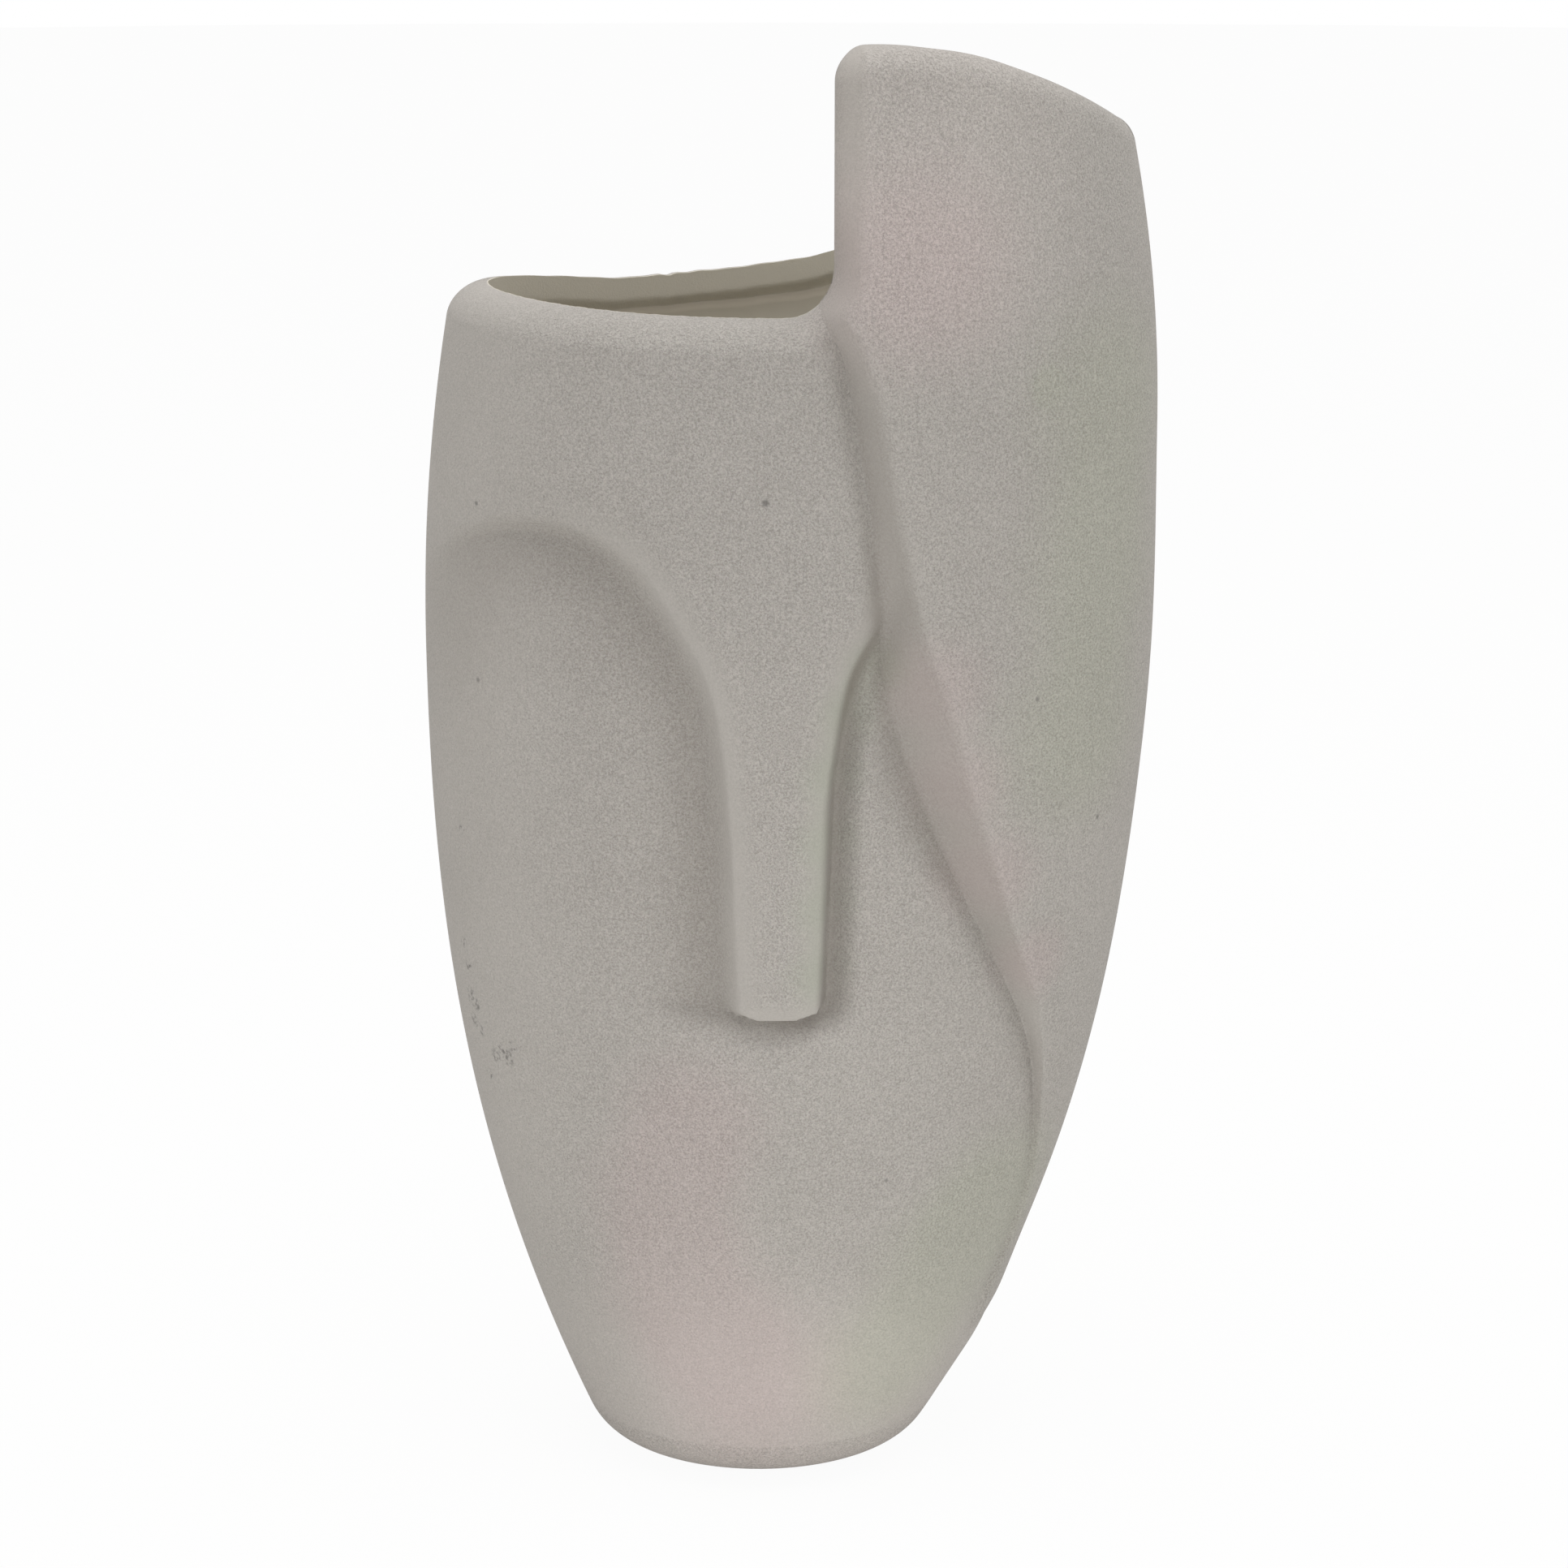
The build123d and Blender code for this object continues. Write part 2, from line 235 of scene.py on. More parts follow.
@dataclass(frozen=True)
class VaseForm:
    """Outline of the vessel: how far each side reaches from the axis at each height."""

    rim: float = RIM_HEIGHT
    underside: float = 1.2
    floor_top: float = 10.2
    foot_side: float = 29.5
    foot_depth: float = 28.0
    foot_round: float = 12.0
    left_belly: Belly = Belly(60.8, 159.0, 2.4, 345.0)
    right_belly: Belly = Belly(73.0, 202.0, 2.95, 233.0)
    depth_belly: Belly = Belly(42.0, 180.0, 2.3, 900.0)
    cheek_swell: Hump = (163.0, 30.0, 0.7)
    foot_swell: Hump = (28.0, 11.0, 1.0)
    wall: float = 6.5
    tail_tuck: Ramp = Ramp(0.0, 0.9, 22.0, 36.0)
    panel_tuck: Ramp = Ramp(0.0, 2.6, 60.0, 118.0)
    back_rise: float = 31.3
    rise_start: float = -40.0
    rise_length: float = 98.9
    rise_power: float = 3.95
    rise_round: float = 0.6
    sag: Hump = (-28.0, 14.0, 0.7)
    lift_height: float = LEFT_LIFT
    lift_start: float = -30.0
    lift_length: float = 20.0
    lift_power: float = 1.5

    def swell(self, z: Array, foot: float, belly: Belly) -> Array:
        """Reach of one side: a power curve from foot to belly, a parabola above, a round at the foot.

        Args:
            z: Heights.
            foot: Reach at the table.
            belly: The side's widest place.

        Returns:
            Reach at each height.
        """
        below = np.maximum(belly.height - z, 0.0) / belly.height
        above = np.maximum(z - belly.height, 0.0)
        side = belly.reach - (belly.reach - foot) * below**belly.fullness - above**2 / (2 * belly.shoulder)
        return side - self.foot_inset(z, foot, belly)

    def foot_inset(self, z: Array, foot: float, belly: Belly) -> Array:
        """How far the rounded foot stays inside the leaning wall, for a quarter round tangent to both.

        Args:
            z: Heights.
            foot: Reach at the table.
            belly: The side's widest place.

        Returns:
            Inset at each height.
        """
        share = (belly.height - self.underside) / belly.height
        lean = (belly.reach - foot) * belly.fullness / belly.height * share ** (belly.fullness - 1)
        tilt = np.arctan(lean)
        tangent = self.foot_round * np.tan((np.pi / 2 - tilt) / 2)
        centre = self.underside + self.foot_round
        drop = np.clip(centre - z, 0.0, self.foot_round)
        inset = tangent + lean * (z - self.underside) - np.sqrt(self.foot_round**2 - drop**2)
        return np.where(z < centre - self.foot_round * np.sin(tilt), np.maximum(inset, 0.0), 0.0)

    def left(self, z: Array) -> Array:
        """Left outline."""
        return self.swell(z, self.foot_side, self.left_belly)

    def right(self, z: Array) -> Array:
        """Right outline, a little fuller over the cheek and over the foot."""
        fuller = bell(z, *self.cheek_swell) + bell(z, *self.foot_swell)
        return self.swell(z, self.foot_side, self.right_belly) + fuller

    def depth(self, z: Array) -> Array:
        """Front and back outline."""
        return self.swell(z, self.foot_depth, self.depth_belly)

    def tuck(self, z: Array) -> Array:
        """How far the face stays inside the right outline: a thin step by the tail, more beside the panel."""
        return self.tail_tuck.at(z) + self.panel_tuck.at(z)

    def oval(self, z: Array, tuck: Amount = 0.0, inset: Amount = 0.0) -> Oval:
        """Level ovals through the outlines, with the right side tucked in and the whole inset."""
        right, left = self.right(z) - tuck, self.left(z)
        return Oval((right - left) / 2, (right + left) / 2 - inset, self.depth(z) - inset)

    def face_oval(self, z: Array) -> Oval:
        """Outside of the face wall."""
        return self.oval(z, self.tuck(z))

    def hollow_oval(self, z: Array, skin: Amount = 0.0) -> Oval:
        """Inside of the walls, or of a skin on them."""
        return self.oval(z, self.tuck(z), self.wall + skin)

    @property
    def right_rim(self) -> float:
        """Height of the mouth at the right seam."""
        return self.rim + self.back_rise

    def back_rim(self, x: Array) -> Array:
        """Back rim: a slight sag, a power curve up to the right that rounds off, a short lift at the left.

        Args:
            x: Sideways places.

        Returns:
            Height of the rim at each place.
        """
        climb = np.maximum((x - self.rise_start) / self.rise_length, 0.0) ** self.rise_power
        near = np.maximum(1.0 - np.abs(climb - 1.0) / self.rise_round, 0.0)
        climb = np.minimum(climb, 1.0) - self.rise_round / 4 * near**2
        lift = self.lift_height * (np.maximum(self.lift_start - x, 0.0) / self.lift_length) ** self.lift_power
        return self.rim + self.back_rise * climb - bell(x, *self.sag) + lift


@dataclass(frozen=True)
class MouthLine:
    """Front outline of the mouth: level rim, round notch, upright edge, round corner and falling arc."""

    rim: float = RIM_HEIGHT
    upright: float = 13.9
    notch: float = 8.5
    corner: float = 6.0
    arc_radius: float = 80.0
    arc_place: float = 21.9
    arc_height: float = 189.6
    lift_height: float = LEFT_LIFT
    lift_length: float = 47.5
    lift_power: float = 2.2
    seam: Span = (45.0, 67.0)
    seam_stretch: float = 0.21

    @property
    def notch_top(self) -> float:
        """Height at which the notch turns upright."""
        return self.rim + self.notch

    @property
    def corner_place(self) -> float:
        """Sideways centre of the round corner."""
        return self.upright + self.corner

    @property
    def corner_height(self) -> float:
        """Height of the centre of the round corner, which touches the arc from inside."""
        reach = self.arc_radius - self.corner
        return self.arc_height + (reach**2 - (self.corner_place - self.arc_place) ** 2) ** 0.5

    def lift(self, x: Array) -> Array:
        """How far the rim lifts towards the left end: a power curve."""
        return self.lift_height * (np.maximum(-x, 0.0) / self.lift_length) ** self.lift_power

    def past_notch(self, x: Array) -> Array:
        """How far a place lies to the right of the notch's centre."""
        return np.maximum(x - (self.upright - self.notch), 0.0)

    def face_gap(self, x: Array, z: Array) -> Array:
        """Distance below the rim, round the notch and right of the upright edge.

        Args:
            x: Sideways places.
            z: Heights, of the same shape.

        Returns:
            Distances, negative past the outline.
        """
        side = self.past_notch(x)
        under = np.maximum(self.notch_top - z, 0.0)
        turned = np.sqrt(side**2 + under**2) - self.notch
        return np.where(side > 0.0, turned, self.rim + self.lift(x) - z)

    def arc_gap(self, x: Array, z: Array) -> Array:
        """Distance inside the falling arc, which becomes the distance below it at the right seam."""
        gap = self.arc_radius - np.hypot(x - self.arc_place, np.maximum(z - self.arc_height, 0.0))
        return gap * (1.0 + self.seam_stretch * ease(*self.seam, x))

    def panel_gap(self, x: Array, z: Array) -> Array:
        """Distance inside the upright edge, the round corner and the arc.

        Args:
            x: Sideways places.
            z: Heights, of the same shape.

        Returns:
            Distances, negative past the outline.
        """
        turn = self.corner - np.hypot(x - self.corner_place, z - self.corner_height)
        in_corner = (x < self.corner_place) & (z > self.corner_height)
        return np.where(in_corner, turn, np.minimum(self.face_gap(x, z), self.arc_gap(x, z)))

    def row_height(self, x: Array, gap: Array) -> Array:
        """Height of the line that runs a given distance below the rim and round the notch."""
        side = self.past_notch(x)
        return self.notch_top - np.sqrt(np.maximum((self.notch + gap) ** 2 - side**2, 0.0)) + self.lift(x)


@dataclass(frozen=True)
class FaceRelief:
    """Relief of the face: a brow plate that runs into the nose, and scooped cheeks.

    right_at, nose_at and soft_at say where the right side, the nose and the soft left end of the brow take
    over. Names with wiped in them belong to the traces of the making, names with painted_shade to painted
    shade.
    """

    brow: Points = (
        (-66.0, 171.0), (-60.0, 179.0), (-55.2, 184.2), (-50.3, 187.9), (-44.4, 190.2), (-38.4, 191.0),
        (-32.2, 190.4), (-26.0, 188.0), (-20.2, 183.4), (-15.9, 177.6), (-12.5, 172.0), (-9.0, 165.6),
        (-6.7, 159.2), (-5.4, 151.8), (-4.6, 143.9), (-3.9, 135.7), (-3.3, 118.8), (-2.6, 103.4),
    )
    tip: Points = ((-2.3, 102.3), (0.6, 101.0), (7.5, 101.0), (11.3, 102.3))
    right: Points = (
        (11.4, 103.4), (12.0, 118.8), (12.4, 131.6), (13.0, 144.1), (14.2, 152.3), (15.1, 158.9),
        (16.5, 164.7), (18.5, 168.8), (20.8, 172.6), (23.0, 177.5), (25.0, 186.0), (26.5, 200.0),
    )
    brow_samples: int = 70
    right_samples: int = 44
    over_rim: float = 330.0
    right_at: Span = (1.0, 7.6)
    nose_at: Span = (168.0, 146.0)
    soft_at: Span = (-14.0, -34.0)
    plate: Ramp = Ramp(3.6, 5.2, 150.0, 100.0)
    rim_fall: Ramp = Ramp(0.0, 1.2, 188.0, 222.0)
    bevel: float = 4.3
    right_bevel: float = 3.4
    soft_bevel: float = 7.5
    bevel_widens: Span = (-3.0, -24.0)
    bevel_bend: float = 0.35
    edge_share: float = 0.56
    nose_edge: float = 0.04
    deepest: float = -4.2
    deep_slope: float = 0.3
    dip_depth: float = 1.8
    dip_foot: Span = (70.0, 125.0)
    dip_top: Span = (236.0, 218.0)
    dip_pause: Hump = (167.0, 11.0, 0.9)
    dip_width: float = 2.1
    dip_wider: Hump = (140.0, 15.0, 3.4)
    flank: Ramp = Ramp(4.6, 6.0, 132.0, 112.0)
    right_flank: Ramp = Ramp(1.6, 4.3, 150.0, 171.0)
    tip_flank: float = 1.3
    tip_flank_at: Span = (99.5, 103.0)
    valley: float = 3.0
    nose_valley: float = 0.6
    right_valley: Ramp = Ramp(3.4, 1.0, 148.0, 168.0)
    valley_foot: Span = (93.0, 103.0)
    valley_end: Ramp = Ramp(0.35, 1.0, -58.0, -42.0)
    cheek_reach: float = 16.0
    right_reach: float = 5.6
    chin: float = 2.6
    chin_place: float = 4.3
    chin_spread: float = 22.0
    chin_top: Span = (103.0, 98.0)
    chin_foot: Span = (30.0, 96.0)
    # Painted shade in the valley outside brow and nose: where it peaks, how far it spreads and how dark it
    # gets.
    painted_shade_peak: float = 4.0
    right_painted_shade_peak: float = 1.2
    painted_shade_spread: float = 8.0
    soft_painted_shade_spread: float = 9.0
    right_painted_shade_spread: float = 2.2
    painted_shade_weight: float = 0.6
    right_painted_shade_weight: float = 0.4
    pocket_painted_shade: Hump = (163.0, 9.0, 0.7)
    painted_shade_foot: Span = (94.0, 103.0)
    painted_shade_end: Span = (-64.0, -48.0)
    wiped_bevel: Pair = (0.6, 3.0)
    wiped_bevel_at: Span = (-45.0, -12.0)
    wiped: float = 0.6
    wiped_flank: Span = (-26.0, -50.0)
    wiped_foot: Span = (60.0, 28.0)

    def inside(self, x: Array, z: Array) -> Array:
        """Distance inside the outline: left brow, nose tip, right brow, then far above the rim.

        Args:
            x: Sideways places.
            z: Heights, of the same shape.

        Returns:
            Distances, negative outside.
        """
        left, right = through(self.brow, self.brow_samples), through(self.right, self.right_samples)
        above = [[right[-1, 0], self.over_rim], [left[0, 0], self.over_rim]]
        return signed_distance(x, z, np.concatenate([left, np.asarray(self.tip), right, above]))

    def height(self, x: Array, z: Array, groove: Array) -> Array:
        """Height of the relief above the oval.

        Inside the outline a rounded bevel climbs from the edge to the plate. Outside, a flank falls into a
        valley and the cheek rises from it again. The valley ends under the nose, where the chin starts.

        Args:
            x: Sideways places.
            z: Heights.
            groove: Sideways place of the panel's groove at each height.

        Returns:
            Heights in millimetres.
        """
        inside = self.inside(x, z)
        right, nose, soft = ease(*self.right_at, x), ease(*self.nose_at, z), ease(*self.soft_at, x)
        level = self.plate.at(z) - self.rim_fall.at(z)
        width = mix(self.bevel, self.right_bevel, right)
        width = mix(width, self.soft_bevel, ease(*self.bevel_widens, x))
        edge = level * (self.edge_share + self.nose_edge * nose)
        climb = np.clip(inside / width, 0.0, 1.0)
        bevel = (1.0 - soft) * climb * (2.0 - climb) ** self.bevel_bend + soft * np.sin(np.pi / 2 * climb)
        plate = mix(edge, level, np.minimum(bevel, 1.0))
        cheek = self.cheek(np.maximum(-inside, 0.0), x, z, edge)
        relief = np.where(inside > 0.0, plate, cheek) - self.dip(np.maximum(groove - x, 0.0), z)
        return np.maximum(relief, self.deepest + self.deep_slope * (relief - self.deepest))

    def dip(self, beside: Array, z: Array) -> Array:
        """Dip of the face beside the panel's groove: a bell across, wide by the cheek, none by the brow.

        Args:
            beside: Distances to the left of the groove.
            z: Heights, of the same shape.

        Returns:
            Depths in millimetres.
        """
        depth = self.dip_depth * ease(*self.dip_foot, z) * ease(*self.dip_top, z)
        depth = depth * (1.0 - bell(z, *self.dip_pause))
        return depth * np.exp(-((beside / (self.dip_width + bell(z, *self.dip_wider))) ** 2))

    def cheek(self, out: Array, x: Array, z: Array, edge: Array) -> Array:
        """Relief outside brow and nose: a flank into a valley, the rise of the cheek, and the chin.

        Args:
            out: Distance from the outline.
            x: Sideways places.
            z: Heights.
            edge: Height of the relief on the outline.

        Returns:
            Heights in millimetres.
        """
        right, nose = ease(*self.right_at, x), ease(*self.nose_at, z)
        flank = mix(self.flank.at(z), self.right_flank.at(z), right)
        flank = mix(self.tip_flank, flank, ease(*self.tip_flank_at, z))
        share = np.clip(out / flank, 0.0, 1.0)
        fall = mix(1.0 - (1.0 - share) ** 2, ease(0.0, 1.0, share), ease(*self.soft_at, x))
        valley = mix(self.valley + self.nose_valley * nose, self.right_valley.at(z), right)
        valley = valley * ease(*self.valley_foot, z) * self.valley_end.at(x)
        rise = ease(0.0, 1.0, (out - flank) / mix(self.cheek_reach, self.right_reach, right))
        chin = self.chin * bell(x, self.chin_place, self.chin_spread)
        chin = chin * ease(*self.chin_top, z) * ease(*self.chin_foot, z)
        return edge * (1.0 - fall) + (chin - valley * (1.0 - rise)) * fall

    def painted_shade(self, x: Array, z: Array) -> Array:
        """Painted shade: darker colour in the valley outside brow and nose, where shade falls, most at its
        foot.

        Args:
            x: Sideways places.
            z: Heights, of the same shape.

        Returns:
            Amounts, 0 where there is none.
        """
        out = -self.inside(x, z)
        right = ease(*self.right_at, x)
        peak = mix(self.painted_shade_peak, self.right_painted_shade_peak, right)
        spread = self.painted_shade_spread + self.soft_painted_shade_spread * ease(*self.soft_at, x)
        spread = mix(spread, self.right_painted_shade_spread, right)
        fading = np.exp(-((np.maximum(out - peak, 0.0) / spread) ** 2))
        much = self.painted_shade_weight + (self.right_painted_shade_weight + bell(z, *self.pocket_painted_shade)) * right
        return ease(0.0, 1.0, out / peak) * fading * ease(*self.painted_shade_foot, z) * ease(*self.painted_shade_end, x) * much

    def smoothness(self, x: Array, z: Array) -> Array:
        """Where the clay was wiped smooth: bevels of brow and nose, less so the left flank and the foot.

        Args:
            x: Sideways places.
            z: Heights, of the same shape.

        Returns:
            Amounts, 0 to 1.
        """
        bevels = bell(self.inside(x, z), *self.wiped_bevel) * ease(*self.wiped_bevel_at, x)
        broad = np.maximum(ease(*self.wiped_flank, x), ease(*self.wiped_foot, z))
        return np.maximum(bevels, self.wiped * broad)


@dataclass(frozen=True)
class PanelLine:
    """The panel's left side: groove, sloping band and crest, all as functions of height."""

    groove: Points = (
        (36.5, 20.0), (40.2, 27.5), (43.3, 34.9), (47.1, 44.4), (49.4, 51.5), (50.8, 58.5), (51.7, 66.0),
        (51.9, 73.2), (51.6, 80.5), (50.7, 87.8), (48.8, 95.0), (46.1, 101.9), (43.0, 108.8), (39.9, 115.7),
        (33.9, 128.8), (28.8, 141.3), (25.2, 151.0), (23.2, 158.5), (22.0, 165.0), (21.9, 172.0),
        (21.4, 180.0), (20.2, 191.4), (18.2, 202.5), (16.6, 212.0), (15.5, 216.8), (14.1, 220.6),
        (12.4, 223.8), (11.2, 226.7), (12.3, 228.2), (13.2, 229.9), (13.7, 231.4), (13.9, 233.0),
    )
    band: Points = (
        (1.5, 20.0), (1.5, 73.2), (2.4, 87.8), (5.1, 101.9), (6.9, 115.7), (9.2, 128.8), (10.3, 141.3),
        (11.7, 153.4), (11.0, 162.3), (8.2, 171.0), (6.4, 180.0), (5.1, 191.4), (5.2, 202.5), (4.9, 213.6),
        (4.6, 219.0), (5.0, 233.0),
    )
    groove_samples: int = 400
    tail_step: Ramp = Ramp(-0.6, 0.9, 20.0, 34.0)
    cheek_rise: Ramp = Ramp(0.0, 5.1, 50.0, 122.0)
    margin: float = 1.2
    sink: float = 0.7
    soft_start: float = 0.12
    fullness: float = 1.15
    # Painted shade along the groove: its width, and how dark it gets at each height.
    painted_shade_width: float = 1.6
    cheek_painted_shade_width: Hump = (141.0, 18.0, 2.8)
    jaw_painted_shade: Ramp = Ramp(0.25, 1.0, 112.0, 128.0)
    brow_painted_shade: Ramp = Ramp(0.12, 1.0, 196.0, 180.0)
    painted_shade_foot: Span = (24.0, 40.0)
    painted_shade_top: Span = (226.0, 210.0)

    def climb(self, share: Array) -> Array:
        """Rise of the band from groove to crest: a soft start, then nearly even."""
        eased = share**2 * (1.0 + self.soft_start) / (share + self.soft_start)
        return 1.0 - (1.0 - np.minimum(eased, 1.0)) ** self.fullness

    def relief_at(self, z: Array) -> Array:
        """Relief of the panel: a thin step along the tail, sunk at its end, full from the cheek up."""
        return self.tail_step.at(z) + self.cheek_rise.at(z)

    def groove_at(self, z: Array) -> Array:
        """Sideways place of the groove."""
        line = through(self.groove, self.groove_samples)
        return np.interp(z, line[:, 1], line[:, 0])

    def band_at(self, z: Array) -> Array:
        """Sideways width of the band."""
        line = np.asarray(self.band)
        return np.interp(z, line[:, 1], line[:, 0])

    def painted_shade(self, x: Array, z: Array) -> Array:
        """Painted shade along the groove, where shade falls: a bell across, most beside the cheek.

        Args:
            x: Sideways places.
            z: Heights, of the same shape.

        Returns:
            Amounts, 0 to 1.
        """
        beside = x - self.groove_at(z)
        width = np.where(beside < 0.0, self.painted_shade_width + bell(z, *self.cheek_painted_shade_width), self.painted_shade_width)
        much = self.jaw_painted_shade.at(z) * self.brow_painted_shade.at(z) * ease(*self.painted_shade_foot, z) * ease(*self.painted_shade_top, z)
        return bell(beside, 0.0, width) * much


@dataclass(frozen=True)
class Vase:
    """The shapes that the pieces share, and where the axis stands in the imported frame, in millimetres."""

    axis: Pair
    form: VaseForm = field(default_factory=VaseForm)
    mouth: MouthLine = field(default_factory=MouthLine)
    relief: FaceRelief = field(default_factory=FaceRelief)
    line: PanelLine = field(default_factory=PanelLine)
    lip_height: float = 5.6
    lip_share: float = 0.95
    slab_lip: float = 4.5
    slab_share: float = 0.36

    def face_field(self, x: Array, z: Array) -> Array:
        """Relief of the face alone, before the lip turns in."""
        return self.relief.height(x, z, self.line.groove_at(z))

    def face_depth(self, x: Array, z: Array) -> Array:
        """y of the outside of the face at a sideways place, with its relief, before the lip turns in."""
        outside = self.form.face_oval(z)
        return outside.place(outside.angle_at(x), Facing.FRONT, self.face_field(x, z))[1]

    def lip(self, slab: Amount) -> tuple[Amount, Amount]:
        """Height of the rounded lip and its share of the wall: the walls' at 0, the free slab's at 1."""
        return mix(self.lip_height, self.slab_lip, slab), mix(self.lip_share, self.slab_share, slab)

    def lip_turn(self, gap: Array, slab: Amount) -> Array:
        """Share of the wall that the rounded lip has turned in: a quarter ellipse over its height.

        Args:
            gap: Distance inside the outline of the mouth.
            slab: 0 for the walls' lip, 1 for the free slab's.

        Returns:
            Shares, 0 below the lip.
        """
        height, share = self.lip(slab)
        left = np.clip(1.0 - gap / height, 0.0, 1.0)
        return share * (1.0 - np.sqrt(np.maximum(1.0 - left**2, 0.0)))


def numbers(grid: Array) -> Array:
    """Vertex numbers of a grid of places, row by row."""
    return np.arange(grid.shape[0] * grid.shape[1]).reshape(grid.shape[:2])


def grid_faces(index: Array, around: bool = False) -> Array:
    """Quads of a grid of vertex numbers.

    Args:
        index: Vertex numbers of (rows, columns).
        around: Whether the columns close into a ring.

    Returns:
        Array of (count, 4).
    """
    across = np.concatenate([index, index[:, :1]], axis=1) if around else index
    corners = (across[:-1, :-1], across[:-1, 1:], across[1:, 1:], across[1:, :-1])
    return np.stack(corners, axis=-1).reshape(-1, 4)


@dataclass
class Piece:
    """A closed mesh in the making, and what it stands for."""

    name: str
    slot: Slot
    nodes: tuple[str, ...]
    sharp: float = 50.0

    def write(
        self, points: Array, quads: Array, caps: list[list[int]], marks: dict[Trace, Array], axis: Pair
    ) -> bpy.types.Object:
        """Writes the mesh, faces outwards, in metres, and hands it to the frame.

        Args:
            points: Places of (count, 3), in millimetres from the axis.
            quads: Vertex numbers of (count, 4).
            caps: Closing faces with more corners.
            marks: Traces of the making at each vertex, 0 for none.
            axis: Place of the axis in the frame, in millimetres.

        Returns:
            The object.
        """
        placed = (points + np.array([axis[0], axis[1], 0.0])) * METRE
        mesh = bpy.data.meshes.new(self.name)
        mesh.from_pydata(placed.tolist(), [], quads.tolist() + caps)
        corner = placed[quads]
        volume = np.einsum("ij,ij->", np.cross(corner[:, 0], corner[:, 1]), corner[:, 2])
        volume += np.einsum("ij,ij->", np.cross(corner[:, 0], corner[:, 2]), corner[:, 3])
        if volume < 0.0:
            mesh.flip_normals()
        mesh.validate()
        for trace, values in marks.items():
            mark = mesh.attributes.new(trace.value, "FLOAT", "POINT")
            mark.data.foreach_set("value", np.ascontiguousarray(values, np.float32).reshape(-1))
        mesh.polygons.foreach_set("use_smooth", np.ones(len(mesh.polygons), bool))
        mesh.set_sharp_from_angle(angle=np.radians(self.sharp))
        mesh.update()
        shape = bpy.data.objects.new(self.name, mesh)
        bpy.context.scene.collection.objects.link(shape)
        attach(shape, "root")
        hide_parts(*self.nodes)
        LOG.info("%s: %d faces", self.name, len(mesh.polygons))
        return shape

    def write_half(self, grid: Array, marks: dict[Trace, Array], axis: Pair) -> bpy.types.Object:
        """Writes a wall between the two seams, capped at both.

        Args:
            grid: Places of (rows, columns, 3): a closed profile down the rows, the seams at the end columns.
            marks: Traces of the making at each vertex, 0 for none.
            axis: Place of the axis in the frame, in millimetres.

        Returns:
            The object.
        """
        index = numbers(grid)
        caps = [index[:, 0].tolist(), index[::-1, -1].tolist()]
        return self.write(grid.reshape(-1, 3), grid_faces(index.T, around=True), caps, marks, axis)


